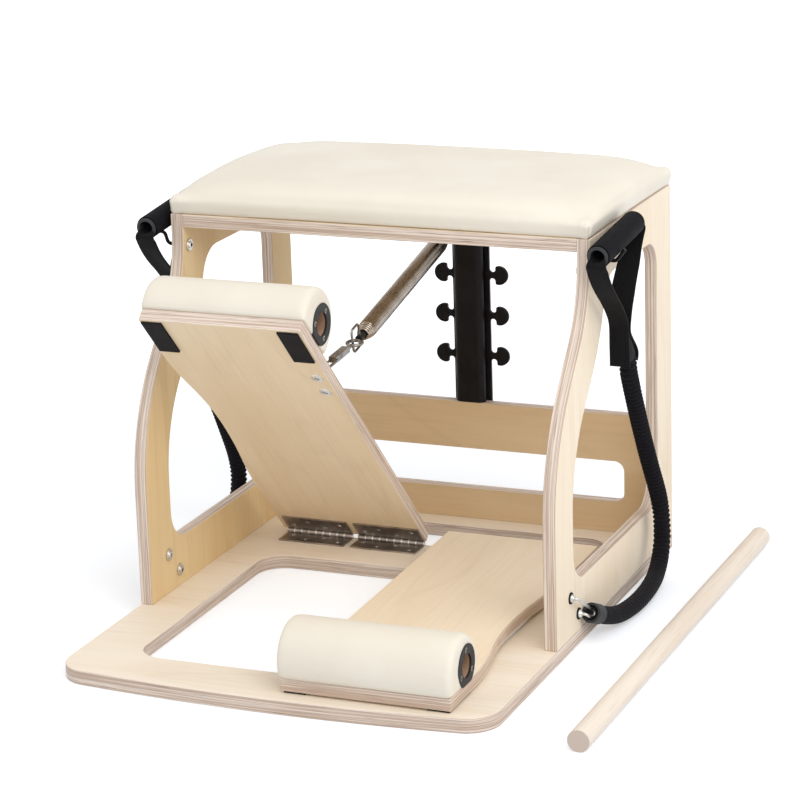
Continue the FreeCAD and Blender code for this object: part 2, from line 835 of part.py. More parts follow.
# Hinges: two per pedal, each with two leaves, nine knuckles and one pin
def hinge_leaf(label, start, place, on_pedal):
    """One leaf in the hinge's own frame: axis along X at the origin, leaf towards the front."""
    level = size("hinge_rise") - leaf_thick if on_pedal else -size("hinge_rise")
    setback = size("leaf_setback")
    pieces = [box(label + "_plate", at(start, -size("leaf_depth"), level), HINGE_LENGTH,
                  "Sizes.leaf_depth - Sizes.leaf_setback", "Sizes.leaf_thick")]
    pitch = hinge_length / size("knuckle_count")
    for index in range(1 if on_pedal else 0, int(size("knuckle_count")), 2):
        x = start + index * pitch + size("knuckle_gap") / 2
        pieces.append(box(f"{label}_tab_{index}", at(x, -setback - 1, level),
                          HINGE_LENGTH + " / Sizes.knuckle_count - Sizes.knuckle_gap",
                          "Sizes.leaf_setback + 1", "Sizes.leaf_thick"))
        pieces.append(rod(f"{label}_knuckle_{index}", along(Vector(x, 0, 0), X_AXIS), "Sizes.knuckle_radius",
                          HINGE_LENGTH + " / Sizes.knuckle_count - Sizes.knuckle_gap"))
    bore = rod(label + "_bore", along(Vector(start, 0, 0), X_AXIS), "Sizes.hinge_pin + Sizes.pin_clearance",
               HINGE_LENGTH)
    leaf = cut(label, fuse(label + "_blank", pieces), [bore])
    leaf.Placement = place
    return leaf


# Pedals: local frame on the hinge axis, front towards -Y, board above the axis
bumper_front = size("pedal_length") - size("bumper_margin")
bumper_level = size("hinge_rise") - size("bumper_thick")
bumper_drop = size("bumper_seat") - size("hinge_rise")
down_angle = math.degrees(math.asin(bumper_drop / math.hypot(bumper_front, bumper_level))
                          - math.atan2(bumper_level, bumper_front))
PEDAL_ANGLES = {"left": size("pedal_lift"), "right": down_angle}
pedal_outer = pedal_inner + pedal_width
board_top = size("hinge_rise") + thick
roller_y = -(size("pedal_length") - size("roller_back"))
roller_z = board_top + size("roller_rise")
saddle_y = -(size("pedal_length") - size("saddle_back"))
saddle_z = board_top + size("saddle_rise")


def s_curve(start, end):
    """Two equal tangent arcs between two points whose tangents both run along Y."""
    (xa, ya), (xb, yb) = start, end
    middle = ((xa + xb) / 2, (ya + yb) / 2)
    radius = ((yb - ya) ** 2 + (xb - xa) ** 2) / (4 * (xb - xa))

    def on(origin, share, outward):
        step = (middle[1] - origin[1]) * share
        return (origin[0] + outward * (abs(radius) - math.sqrt(radius ** 2 - step ** 2)), origin[1] + step)

    toward = 1 if xb > xa else -1
    return [arc(start, on(start, 0.5, toward), middle), arc(middle, on(end, 0.5, -toward), end)]


def pedal_outline(sign):
    """Board with a waisted outer edge and a straight inner edge."""
    front = -size("pedal_length")
    outer = sign * pedal_outer
    inner = sign * pedal_inner
    waist = (sign * (pedal_outer - size("waist_depth")), front + size("waist_middle"))
    wide_end = (outer, front + size("waist_front"))
    heel_x = sign * (pedal_outer - size("heel_inset"))
    heel_start = (heel_x, front + size("waist_back"))
    heel = size("pedal_heel")
    return ([line((inner, front), (outer, front)), line((outer, front), wide_end)]
            + s_curve(wide_end, waist) + s_curve(waist, heel_start)
            + [line(heel_start, (heel_x, heel)), line((heel_x, heel), (inner, heel)),
               line((inner, heel), (inner, front))])


def roller_section():
    """Round pad set ahead of its core, flat on the board and upright behind."""
    radius = size("roller_pad")
    rise = size("roller_wall")
    wall = board_top + rise
    middle = roller_y - size("roller_lead")
    toe = middle - math.sqrt(radius ** 2 - rise ** 2)
    return [
        line((toe, board_top), (middle + radius, board_top)),
        line((middle + radius, board_top), (middle + radius, wall)),
        arc((middle + radius, wall), (middle, wall + radius), (toe, board_top)),
    ]


def build_pedal(side, sign):
    place = Placement(Vector(0, hinge_y, hinge_z), Rotation(X_AXIS, -PEDAL_ANGLES[side]))

    def local(x=0.0, y=0.0, z=0.0, axis=Z_AXIS, angle=0.0):
        return place.multiply(at(x, y, z, axis, angle))

    def local_along(x, y, z, direction):
        return place.multiply(along(Vector(x, y, z), direction))

    base_place = at(0, hinge_y, hinge_z)
    starts = hinge_starts if sign > 0 else [-start - hinge_length for start in hinge_starts]
    base_leaves = [hinge_leaf(f"{side}_base_leaf_{i}", start, base_place, False)
                   for i, start in enumerate(starts)]
    pedal_leaves = [hinge_leaf(f"{side}_pedal_leaf_{i}", start, place, True)
                    for i, start in enumerate(starts)]
    keep(cut(side + "_hinge_base_leaves", group(side + "_base_leaf_pair", base_leaves),
             [copies(side + "_base_leaf_holes", leaf_hole, base_leaf_places)]))
    screws = [place.multiply(facing(x, -reach, size("hinge_rise") - leaf_thick, Vector(0, 0, -1)))
              for x, reach in leaf_screw_spots(sign)]
    pedal_holes = copies(side + "_pedal_leaf_holes", leaf_hole, screws)
    keep(cut(side + "_hinge_pedal_leaves", group(side + "_pedal_leaf_pair", pedal_leaves), [pedal_holes]))
    keep(copies(side + "_hinge_screws", leaf_screw, screws))
    keep(group(side + "_hinge_pins", [
        rod(f"{side}_hinge_pin_{i}", local_along(start, 0, 0, X_AXIS), "Sizes.hinge_pin", HINGE_LENGTH)
        for i, start in enumerate(starts)]))

    # Spring saddle with two flush nuts under the board
    saddle_x = sign * size("chain_inset")
    half_span = size("saddle_span") / 2
    leg_low = size("hinge_rise") + 0.5
    saddle_wire, saddle_length = tube_path(
        [(saddle_x, saddle_y - half_span, leg_low), (saddle_x, saddle_y - half_span, saddle_z),
         (saddle_x, saddle_y + half_span, saddle_z), (saddle_x, saddle_y + half_span, leg_low)],
        [size("saddle_rise")] * 2)
    keep(set_shape(side + "_spring_saddle", swept(saddle_wire, size("saddle_wire")), place))
    nuts = []
    leg_holes = []
    for i, y in enumerate((saddle_y - half_span, saddle_y + half_span)):
        nut = rod(f"{side}_saddle_nut_disc_{i}", local(saddle_x, y, size("hinge_rise")), "Sizes.saddle_nut",
                  "Sizes.saddle_nut_thick")
        bore = rod(f"{side}_saddle_nut_bore_{i}", local(saddle_x, y, size("hinge_rise") - 1),
                   "Sizes.saddle_wire + Sizes.screw_clearance", "Sizes.saddle_nut_thick + 2")
        nuts.append(cut(f"{side}_saddle_nut_{i}", nut, [bore]))
        leg_holes.append(rod(f"{side}_saddle_seat_{i}", local(saddle_x, y, size("hinge_rise") - 1),
                             "Sizes.saddle_nut + Sizes.screw_clearance", "Sizes.saddle_nut_thick + 1"))
        leg_holes.append(rod(f"{side}_saddle_hole_{i}", local(saddle_x, y, size("hinge_rise") - 1),
                             "Sizes.saddle_wire + Sizes.screw_clearance", "Sizes.board_thick + 2"))
    keep(group(side + "_saddle_nuts", nuts))

    board = padded_sketch(side + "_pedal_blank", "XY_Plane", pedal_outline(sign), "Sizes.board_thick",
                          local(0, 0, size("hinge_rise")))
    keep(cut(side + "_pedal_board", board, leg_holes + [pedal_holes]))

    bumper_x = (pedal_outer - size("bumper_inset") - size("bumper_width"), pedal_inner + size("bumper_inset"))
    bumpers = []
    for i, x in enumerate(bumper_x):
        low_x = x if sign > 0 else -x - size("bumper_width")
        bumpers.append(box(f"{side}_bumper_{i}", local(low_x, -bumper_front, bumper_level),
                           "Sizes.bumper_width", "Sizes.bumper_length", "Sizes.bumper_thick"))
    keep(group(side + "_bumpers", bumpers))

    # Padded roller: vinyl pad around a bored wooden core, with a cap screwed on each end
    pad_low = (pedal_inner if sign > 0 else -pedal_outer) - size("roller_overhang")
    pad_length = pedal_width + 2 * size("roller_overhang")
    pad_span = PEDAL_WIDTH + " + 2 * Sizes.roller_overhang"
    pad_blank = padded_sketch(side + "_pad_blank", "YZ_Plane", roller_section(),
                              pad_span, at(pad_low))

    def end_edge(edge):
        """Edges of both ends, but not those that lie on the board."""
        box_of = edge.BoundBox
        return box_of.XLength < 0.01 and box_of.ZMax > board_top + 1

    pad_soft = fillet(side + "_pad_soft", pad_blank, size("roller_edge"), end_edge)
    pad_soft.Placement = place
    cap_span = pad_length - size("cap_thick")
    cap_starts = (pad_low, pad_low + cap_span)
    recesses = [rod(f"{side}_cap_recess_{i}", local_along(x, roller_y, roller_z, X_AXIS),
                    "Sizes.cap_radius + Sizes.fit_gap", "Sizes.cap_thick") for i, x in enumerate(cap_starts)]
    core_room = rod(side + "_core_room", local_along(pad_low, roller_y, roller_z, X_AXIS),
                    "Sizes.core_radius + Sizes.screw_clearance", pad_span)
    keep(cut(side + "_roller_pad", pad_soft, recesses + [core_room]))

    cap_screws = []
    for x, outward in ((pad_low, -1), (pad_low + pad_length, 1)):
        for i in range(int(size("cap_screw_count"))):
            turn = math.radians(90 + 360 * i / size("cap_screw_count"))
            circle = size("cap_screw_circle")
            cap_screws.append(place.multiply(facing(x, roller_y + circle * math.cos(turn),
                                                    roller_z + circle * math.sin(turn), X_AXIS * outward)))
    cap_holes = copies(side + "_cap_holes", leaf_hole, cap_screws)
    core = rod(side + "_core_blank", local_along(pad_low + size("cap_thick"), roller_y, roller_z, X_AXIS),
               "Sizes.core_radius", pad_span + " - 2 * Sizes.cap_thick")
    bore = rod(side + "_core_bore", local_along(pad_low - 1, roller_y, roller_z, X_AXIS), "Sizes.core_bore",
               pad_span + " + 2")
    keep(cut(side + "_roller_core", core, [bore, cap_holes]))
    caps = [rod(f"{side}_cap_{i}", local_along(x, roller_y, roller_z, X_AXIS),
                "Sizes.cap_radius", "Sizes.cap_thick") for i, x in enumerate(cap_starts)]
    cap_radius = size("cap_radius")
    cap_floor = box(side + "_cap_floor",
                    local(pad_low - cap_radius, roller_y - 2 * cap_radius,
                          board_top + size("fit_gap") - cap_radius),
                    pad_span + " + 2 * Sizes.cap_radius", "4 * Sizes.cap_radius", "Sizes.cap_radius")
    keep(cut(side + "_roller_caps", group(side + "_cap_pair", caps), [bore, cap_floor, cap_holes]))
    keep(copies(side + "_cap_screws", leaf_screw, cap_screws))
    return place


pedal_places = {side: build_pedal(side, sign) for side, sign in SIDES.items()}

# Spring: it hangs from the top left hook and runs down to the left pedal's saddle
chain_x = -size("chain_inset")
hook_point = Vector(chain_x, rear + size("plate_thick") / 2,
                    size("hook_low") + (size("hook_rows") - 1) * size("hook_pitch"))
eye_point = pedal_places["left"].multVec(Vector(chain_x, saddle_y, saddle_z))
chain = hook_point - eye_point
lean = math.asin(size("snap_reach") * math.sin(math.radians(size("chain_bend_angle"))) / chain.Length)
droop = math.atan2(chain.z, chain.y) + lean
spring_direction = Vector(0, -math.cos(droop), -math.sin(droop))
spring_place = Placement(hook_point, Rotation(X_AXIS, 90 + math.degrees(droop)))
reach_along = spring_direction.dot(eye_point - hook_point)
reach_off = (eye_point - hook_point).Length ** 2 - reach_along ** 2
link_station = reach_along - math.sqrt(size("snap_reach") ** 2 - reach_off)
link_point = hook_point + spring_direction * link_station
ring_back = link_station - size("snap_eye_wire") - size("ring_play") - size("ring_wire")
coil_start = size("coil_start")
coil_turns = int((ring_back - size("coil_clear") - coil_start) / size("coil_pitch"))
coil_end = coil_start + coil_turns * size("coil_pitch")

# Upper spring hook: ring round the plate's neck, shank and plug inside the coil's end
hook_ring = primitive("Torus", "spring_hook_ring", at(axis=Y_AXIS, angle=90),
                      Radius1="Sizes.hook_ring_bore + Sizes.hook_ring_wire", Radius2="Sizes.hook_ring_wire")
hook_shank = rod("spring_hook_shank", at(0, 0, size("hook_ring_bore") + size("hook_ring_wire")),
                 "Sizes.hook_shank", "Sizes.coil_start - Sizes.hook_ring_bore")
hook_head = rod("spring_hook_head", at(0, 0, coil_start), "Sizes.plug_radius", "Sizes.plug_length")
spring_hook = keep(fuse("spring_hook", [hook_ring, hook_shank, hook_head]))
spring_hook.Placement = spring_place

# Lower plug: black stopper in the coil's end, bored across for the link ring
plug_start = coil_end - size("plug_length")
plug_end = ring_back + size("plug_hole") + size("plug_nose")
plug_blank = rod("spring_plug_blank", at(0, 0, plug_start), "Sizes.plug_radius", str(plug_end - plug_start))
plug_hole = rod("spring_plug_hole", along(Vector(0, -2 * size("plug_radius"), ring_back), Y_AXIS),
                "Sizes.plug_hole", "4 * Sizes.plug_radius")
spring_plug = keep(cut("spring_plug", plug_blank, [plug_hole]))
spring_plug.Placement = spring_place

# Link ring: rounded wire loop through the plug, hanging below the spring's line
ring_wire = size("ring_wire")
ring_low = -size("ring_below") - ring_wire
ring_high = size("ring_above") + ring_wire
ring_front = ring_back + size("ring_along") + 2 * ring_wire
ring_edges = rounded([(ring_low, ring_back), (ring_high, ring_back),
                      (ring_high, ring_front), (ring_low, ring_front)],
                     [size("ring_corner")] * 4)
ring_shape = closed_ring("link_ring", ring_edges, ring_wire)
ring_turn = Placement(Vector(0, 0, 0), Rotation(Y_AXIS, -90).multiply(Rotation(Z_AXIS, -90)))
keep(set_shape("link_ring", ring_shape, spring_place.multiply(ring_turn)))


# Coil: one unbroken wire, narrowed towards both ends
def coil_point(turn):
    """Centre of the wire after a number of turns, and its tangent."""
    count = coil_turns
    taper = size("coil_taper_turns")
    wide = size("coil_radius")
    narrow = size("coil_end_radius")
    edge = min(turn, count - turn)
    share = min(1.0, max(0.0, edge / taper))
    radius = narrow + (wide - narrow) * math.sin(share * math.pi / 2)
    slope = 0.0
    if share < 1.0:
        slope = (wide - narrow) * math.cos(share * math.pi / 2) * math.pi / 2 / taper
        slope = slope if turn < count / 2 else -slope
    angle = 2 * math.pi * turn
    cosine, sine = math.cos(angle), math.sin(angle)
    pitch = size("coil_pitch")
    point = Vector(radius * cosine, radius * sine, coil_start + pitch * turn)
    sweep = 2 * math.pi * radius
    tangent = Vector(slope * cosine - sweep * sine, slope * sine + sweep * cosine, pitch)
    return point, tangent.normalize()


def biarc(start, start_tangent, end, end_tangent):
    """Two arcs, tangent to each other, between two points with given tangents."""
    chord = end - start
    total = start_tangent + end_tangent
    spread = 2 * (1 - start_tangent.dot(end_tangent))
    lean = chord.dot(total)
    arm = (-lean + math.sqrt(lean ** 2 + spread * chord.dot(chord))) / spread
    joint = (start + end + (start_tangent - end_tangent) * arm) * 0.5
    joint_tangent = ((end - end_tangent * arm) - (start + start_tangent * arm)).normalize()

    def bulge(p, tangent, q):
        half = (q - p) * 0.5
        side = tangent - half * (tangent.dot(half) / half.dot(half))
        turn = tangent.getAngle(half)
        return p + half + side.normalize() * (half.Length * math.tan(turn / 2))

    return [Part.Arc(start, bulge(start, start_tangent, joint), joint).toShape(),
            Part.Arc(joint, bulge(joint, joint_tangent, end), end).toShape()]


QUARTERS = 2
coil_edges = []
coil_steps = coil_turns * QUARTERS
previous, previous_tangent = coil_point(0)
lead_in = previous - previous_tangent * size("coil_wire") * 2
coil_edges.append(Part.makeLine(lead_in, previous))
for step in range(1, coil_steps + 1):
    point, tangent = coil_point(step / QUARTERS)
    coil_edges += biarc(previous, previous_tangent, point, tangent)
    previous, previous_tangent = point, tangent
coil_edges.append(Part.makeLine(previous, previous + previous_tangent * size("coil_wire") * 2))
coil_path = Part.Wire(coil_edges)
coil_shape = swept(coil_path, size("coil_wire"))
keep(set_shape("spring_coil", coil_shape, spring_place))

# Clear space between neighbouring turns, measured on points along the path
SAMPLES = 24
track = [coil_point(i / SAMPLES)[0] for i in range(coil_turns * SAMPLES + 1)]
nearest = min(track[i].distanceToPoint(track[j])
              for i in range(len(track))
              for j in range(i + SAMPLES // 2, min(len(track), i + 2 * SAMPLES)))
print("coil self gap mm", round(nearest - 2 * size("coil_wire"), 3),
      "wire length m", round(coil_path.Length / 1000, 3))

# Bolt snap: jaw and sliding bolt on the saddle, swivel eye on the link ring
snap_reach = size("snap_reach")
snap_axis = link_point - eye_point
snap_angle = math.degrees(math.atan2(snap_axis.z, snap_axis.y))
snap_place = Placement(eye_point, Rotation(X_AXIS, snap_angle - 90))
jaw = size("snap_jaw")
jaw_back = -size("snap_jaw_back")
block_start = size("snap_block_start")
jaw_points = [(0, 0, block_start + size("snap_jaw_root")), (jaw, 0, block_start - size("snap_jaw_shoulder")),
              (jaw, 0, jaw_back), (-jaw, 0, jaw_back),
              (-jaw, 0, size("snap_tip"))]
jaw_wire, jaw_length = tube_path(jaw_points, bend_radii(jaw_points, jaw))
jaw_bar = set_shape("snap_jaw_bar", swept(jaw_wire, size("snap_wire")))
snap_block = box("snap_block", at(-size("snap_block_bolt_side"), -size("snap_block_thick") / 2, block_start),
                 "Sizes.snap_block_bolt_side + Sizes.snap_block_spine_side", "Sizes.snap_block_thick",
                 "Sizes.snap_block_end - Sizes.snap_block_start")
neck_bore = rod("snap_neck_bore", at(0, 0, size("snap_block_end") - size("snap_neck_seat")),
                "Sizes.snap_neck + Sizes.pin_clearance", "Sizes.snap_neck_seat + 1")
bolt_room = rod("snap_bolt_room", at(-jaw, 0, block_start - 1), "Sizes.snap_bolt + Sizes.pin_clearance",
                "Sizes.snap_bolt_back + Sizes.snap_travel - Sizes.snap_block_start + 2")
knob_low = size("snap_knob_station") - size("snap_knob") - size("fit_gap")
knob_slot = box("snap_knob_slot", at(-jaw - size("snap_knob") - size("fit_gap"), 0, knob_low),
                "2 * Sizes.snap_knob + 2 * Sizes.fit_gap", "Sizes.snap_block_thick",
                "2 * Sizes.snap_knob + 2 * Sizes.fit_gap + Sizes.snap_travel")
snap_body = keep(cut("snap_body", fuse("snap_body_blank", [snap_block, jaw_bar]),
                     [neck_bore, bolt_room, knob_slot]))
snap_body.Placement = snap_place

bolt_tip = size("snap_tip") + size("fit_gap")
bolt_rod = rod("snap_bolt_rod", at(-jaw, 0, bolt_tip),
               "Sizes.snap_bolt", "Sizes.snap_bolt_back - " + str(bolt_tip))
bolt_knob = rod("snap_bolt_knob", along(Vector(-jaw, 0, size("snap_knob_station")), Y_AXIS),
                "Sizes.snap_knob", "Sizes.snap_knob_length")
snap_bolt = keep(fuse("snap_bolt", [bolt_rod, bolt_knob]))
snap_bolt.Placement = snap_place

eye_ring = primitive("Torus", "snap_eye_ring", at(0, 0, snap_reach - size("snap_eye"), X_AXIS, 90),
                     Radius1="Sizes.snap_eye", Radius2="Sizes.snap_eye_wire")
eye_start = size("snap_block_end") - size("snap_neck_seat") + size("fit_gap")
eye_neck = rod("snap_eye_neck", at(0, 0, eye_start), "Sizes.snap_neck",
               str(snap_reach - 2 * size("snap_eye") - eye_start))
snap_eye = keep(fuse("snap_eye", [eye_ring, eye_neck]))
snap_eye.Placement = snap_place


# Handle: spinning foam grip on a tube, webbing strap and sewn sleeve
def build_handle(side, sign):
    tilt = math.radians(size("grip_tilt"))
    handle_x = sign * (half_width + size("handle_out"))
    axis = Vector(0, math.cos(tilt), math.sin(tilt))
    middle = Vector(handle_x, size("grip_middle"), size("grip_height"))
    tube_start = middle - axis * (size("grip_tube_length") / 2)
    foam_start = middle - axis * (size("grip_length") / 2)
    foam = rod(side + "_foam_blank", along(foam_start, axis), "Sizes.grip_radius", "Sizes.grip_length")
    foam_bore = rod(side + "_foam_bore", along(foam_start, axis), "Sizes.grip_bore", "Sizes.grip_length")
    keep(cut(side + "_grip_foam", foam, [foam_bore]))
    tube = rod(side + "_tube_blank", along(tube_start, axis), "Sizes.grip_bore", "Sizes.grip_tube_length")
    tube_bore = rod(side + "_tube_bore", along(tube_start, axis), "Sizes.grip_bore - Sizes.grip_tube_wall",
                    "Sizes.grip_tube_length")
    keep(cut(side + "_grip_tube", tube, [tube_bore]))

    # Strap through the tube, round both ends and down to the sleeve
    below = Vector(0, math.sin(tilt), -math.cos(tilt)) * size("strap_drop")
    turn_out = size("grip_tube_length") / 2 + size("strap_reach")
    inside = [middle + below + axis * (end * turn_out) for end in (-1, 1)]
    sleeve_top = Vector(handle_x, size("sleeve_back") - size("sleeve_lean"), size("sleeve_top"))
    spread = Vector(0, size("strap_thick") / 2 + 0.1, 0)
    foot = Vector(0, 0, -size("strap_foot"))
    route = [sleeve_top - spread + foot, sleeve_top - spread, inside[0], inside[1], sleeve_top + spread,
             sleeve_top + spread + foot]
    points = [tuple(p) for p in route]
    path, path_length = tube_path(points, bend_radii(points, size("strap_bend")))
    strap_pieces = []
    edges = path.OrderedEdges
    straight = max(range(len(edges)), key=lambda i: edges[i].Length * (abs(edges[i].tangentAt(0).z) < 0.3))
    strap_runs = (("strap_width", edges[:straight]), ("strap_inner_width", edges[straight:straight + 1]),
                  ("strap_width", edges[straight + 1:]))
    for width, chosen in strap_runs:
        strap_pieces.append(strap_run(Part.Wire(chosen), size(width), size("strap_thick")))

    # Sleeve: pinched at the strap, flat in front and round behind the cord
    low = size("sleeve_low")
    outer = size("cord_diameter") / 2 + size("sleeve_wall")
    socket = size("cord_diameter") / 2 + size("fit_gap")

    def oblong(half_x, front, back, radius, z):
        corners = [(-half_x, front), (half_x, front), (half_x, back), (-half_x, back)]
        wire = rounded(corners, [size("sleeve_corner")] * 2 + [radius] * 2)
        shape = Part.Wire([edge.toShape() for edge in wire])
        shape.translate(Vector(handle_x, size("sleeve_back"), z))
        return shape

    neck = size("sleeve_neck") / 2
    lean = size("sleeve_lean")
    ahead = -size("sleeve_front")
    body = Part.makeLoft([oblong(outer, ahead, outer, outer - 0.3, low),
                          oblong(outer, ahead, outer, outer - 0.3, low + size("sleeve_socket") + 4),
                          oblong(outer, -lean - neck, neck - lean, neck - 0.3, size("sleeve_top") - 2)],
                         True, True)
    bore = Part.makeCylinder(socket, size("sleeve_socket"), Vector(handle_x, size("sleeve_back"), low))
    strap_shape = strap_pieces[0].multiFuse(strap_pieces[1:] + [body]).cut(bore)
    keep(set_shape(side + "_strap", strap_shape))

    # Hook on the panel's outer face: flange, stud and a wire cradle under the grip
    bolt_y, bolt_z = STUDS["hook"]
    face = sign * half_width
    grip_z = size("grip_height") + (bolt_y - size("grip_middle")) * math.tan(tilt)
    cradle = grip_z - size("grip_radius") / math.cos(tilt) - size("hook_seat_gap") - size("hook_wire")
    hook_points = [(face, bolt_y, bolt_z), (face + sign * size("hook_arm"), bolt_y, bolt_z),
                   (face + sign * size("hook_knee"), bolt_y, cradle),
                   (handle_x + sign * size("hook_cradle"), bolt_y, cradle),
                   (handle_x + sign * size("hook_tip_reach"), bolt_y, cradle + size("hook_tip_rise"))]
    hook_path, hook_length = tube_path(hook_points, bend_radii(hook_points, size("hook_bend")))
    hook_wire = set_shape(side + "_hook_wire", swept(hook_path, size("hook_wire")))
    outward = X_AXIS * sign
    flange = rod(side + "_hook_flange", along(Vector(face, bolt_y, bolt_z), outward), "Sizes.hook_flange",
                 "Sizes.hook_flange_thick")
    inner_end = face - sign * (thick + size("nut_thick") - 0.5)
    stud = rod(side + "_hook_stud", along(Vector(inner_end, bolt_y, bolt_z), outward), "Sizes.stud_radius",
               "Sizes.board_thick + Sizes.nut_thick - 0.5")
    keep(fuse(side + "_handle_hook", [hook_wire, flange, stud]))


def strap_run(path, width, thickness):
    """Flat band along a path that lies in a plane of constant x."""
    first = path.OrderedEdges[0]
    start = path.OrderedVertexes[0].Point
    at_start = first.valueAt(first.FirstParameter).distanceToPoint(start) < 1e-6
    direction = first.tangentAt(first.FirstParameter if at_start else first.LastParameter)
    across = direction.cross(X_AXIS).normalize() * (thickness / 2)
    wide = X_AXIS * (width / 2)
    corners = [start + across + wide, start - across + wide, start - across - wide, start + across - wide]
    profile = Part.makePolygon(corners + corners[:1])
    shell = Part.BRepOffsetAPI.MakePipeShell(path)
    shell.add(profile)
    shell.build()
    shell.makeSolid()
    return shell.shape()


# Elastic cord: it hangs from the sleeve, lies on the floor and ends in the rubber cup
CORD_ROUTE = ((17.5, -187, 35), (25, -146, 17), (33, -96, 13.2), (35, -48, 13.4), (33.5, -6, 15),
              (30, 32, 19), (27, 63, 38), (25, 78, 72), (23, 71, 118), (21.5, 42, 166), (20.5, 11, 217),
              (21, -20, 268), (22, -48, 315), (22, -63, 345), (22, -63, 362))


def cord_points(sign):
    """Points of a cord's route; the first number of each is its distance outside the side panel."""
    return [(sign * (half_width + out), y, z) for out, y, z in CORD_ROUTE]


def build_cord(side, sign):
    points = cord_points(sign)
    radii = bend_radii(points, size("cord_bend"))
    path, length = tube_path(points, radii)
    radius = size("cord_diameter") / 2
    shape = swept(path, radius)
    print(side, "cord length mm", round(length, 1), "least bend mm", round(min(radii), 1),
          "volume share", round(shape.Volume / (math.pi * radius ** 2 * length), 4))
    keep(set_shape(side + "_cord", shape))


def cup_frame(sign):
    """Back of the rubber cup on the cord's end, and the direction from the cord out of the cup."""
    start, following = (Vector(*point) for point in cord_points(sign)[:2])
    return start, (start - following).normalize()


def build_loop(side, sign):
    """Bent wire on two studs whose bight sits in the rubber cup."""
    start, out = cup_frame(sign)
    face = sign * half_width
    washer = size("loop_washer_thick")
    outward = X_AXIS * sign
    across = (Z_AXIS - out * Z_AXIS.dot(out)).normalize() * size("loop_half")
    hollow_end = size("ferrule_length") - size("ferrule_depth")
    bight = start + out * (hollow_end + size("loop_wire") + size("fit_gap"))
    mouth = start + out * (size("ferrule_length") + 4)
    upper = Vector(face + sign * washer, *STUDS["loop_upper"])
    lower = Vector(face + sign * washer, *STUDS["loop_lower"])
    dome = size("loop_dome")
    points = [tuple(p) for p in (upper, upper + outward * (dome + 3), mouth + across, bight + across,
                                 bight - across, mouth - across, lower + outward * (dome + 3), lower)]
    path, length = tube_path(points, bend_radii(points, size("loop_bend")))
    pieces = [set_shape(side + "_loop_wire", swept(path, size("loop_wire")))]
    inner_end = face - sign * (thick + size("nut_thick") - 0.5)
    for name, centre in (("upper", upper), ("lower", lower)):
        pieces.append(primitive("Sphere", f"{side}_loop_{name}_dome", along(centre, outward),
                                Radius="Sizes.loop_dome", Angle1="0"))
        pieces.append(rod(f"{side}_loop_{name}_stud", along(Vector(inner_end, centre.y, centre.z), outward),
                          "Sizes.stud_radius",
                          "Sizes.board_thick + Sizes.nut_thick + Sizes.loop_washer_thick - 0.4"))
    keep(fuse(side + "_cord_loop", pieces))


for side, sign in SIDES.items():
    build_handle(side, sign)
    build_cord(side, sign)
    build_loop(side, sign)

cups = []
washers = []
loop_nuts = []
hook_nuts = []
for side, sign in SIDES.items():
    start, out = cup_frame(sign)
    cup = rod(side + "_cup_blank", along(start, out), "Sizes.ferrule_radius", "Sizes.ferrule_length")
    hollow_floor = start + out * (size("ferrule_length") - size("ferrule_depth"))
    hollow = rod(side + "_cup_hollow", along(hollow_floor, out),
                 "Sizes.ferrule_mouth", "Sizes.ferrule_depth + 1")
    cups.append(cut(side + "_cup", cup, [hollow]))
    outward = X_AXIS * sign
    for name, (y, z) in STUDS.items():
        bore = rod(f"{side}_{name}_bore", along(Vector(sign * (half_width - 2 * thick), y, z), outward),
                   "Sizes.stud_radius + Sizes.screw_clearance", "3 * Sizes.board_thick")
        inner = sign * (half_width - thick - size("nut_thick"))
        nut = rod(f"{side}_{name}_nut_disc", along(Vector(inner, y, z), outward),
                  "Sizes.nut_radius", "Sizes.nut_thick")
        nut = cut(f"{side}_{name}_nut", nut, [bore])
        if name == "hook":
            hook_nuts.append(nut)
            continue
        loop_nuts.append(nut)
        disc = rod(f"{side}_{name}_washer_disc", along(Vector(sign * half_width, y, z), outward),
                   "Sizes.loop_washer", "Sizes.loop_washer_thick")
        washers.append(cut(f"{side}_{name}_washer", disc, [bore]))
keep(group("cord_ferrules", cups))
keep(group("loop_washers", washers))
keep(group("loop_nuts", loop_nuts))
keep(group("hook_nuts", hook_nuts))

# Loose wooden bar on the floor; it fits through both rollers
bar_end = size("bar_middle") - size("bar_length") / 2
bar_start = Vector(half_width + size("bar_side"), bar_end, size("bar_radius"))
keep(rod("connecting_bar", along(bar_start, Y_AXIS), "Sizes.bar_radius", "Sizes.bar_length"))

doc.recompute()
faults = []
for obj in doc.Objects:
    if "Invalid" in obj.State or "Error" in obj.State:
        faults.append(f"{obj.Label}: {obj.State}")
for obj in nodes:
    if obj.Shape.isNull() or not obj.Shape.isValid() or not obj.Shape.Solids:
        faults.append(f"{obj.Label}: shape not usable")
if faults:
    raise RuntimeError("; ".join(faults))

os.makedirs("parts", exist_ok=True)
for obj in nodes:
    obj.Shape.exportStep(f"parts/{obj.Label}.step")
print(len(nodes), "pieces written")
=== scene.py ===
"""Pilates chair: birch frame, padded seat and rollers, a sprung pedal and corded hand grips."""
import json
import math

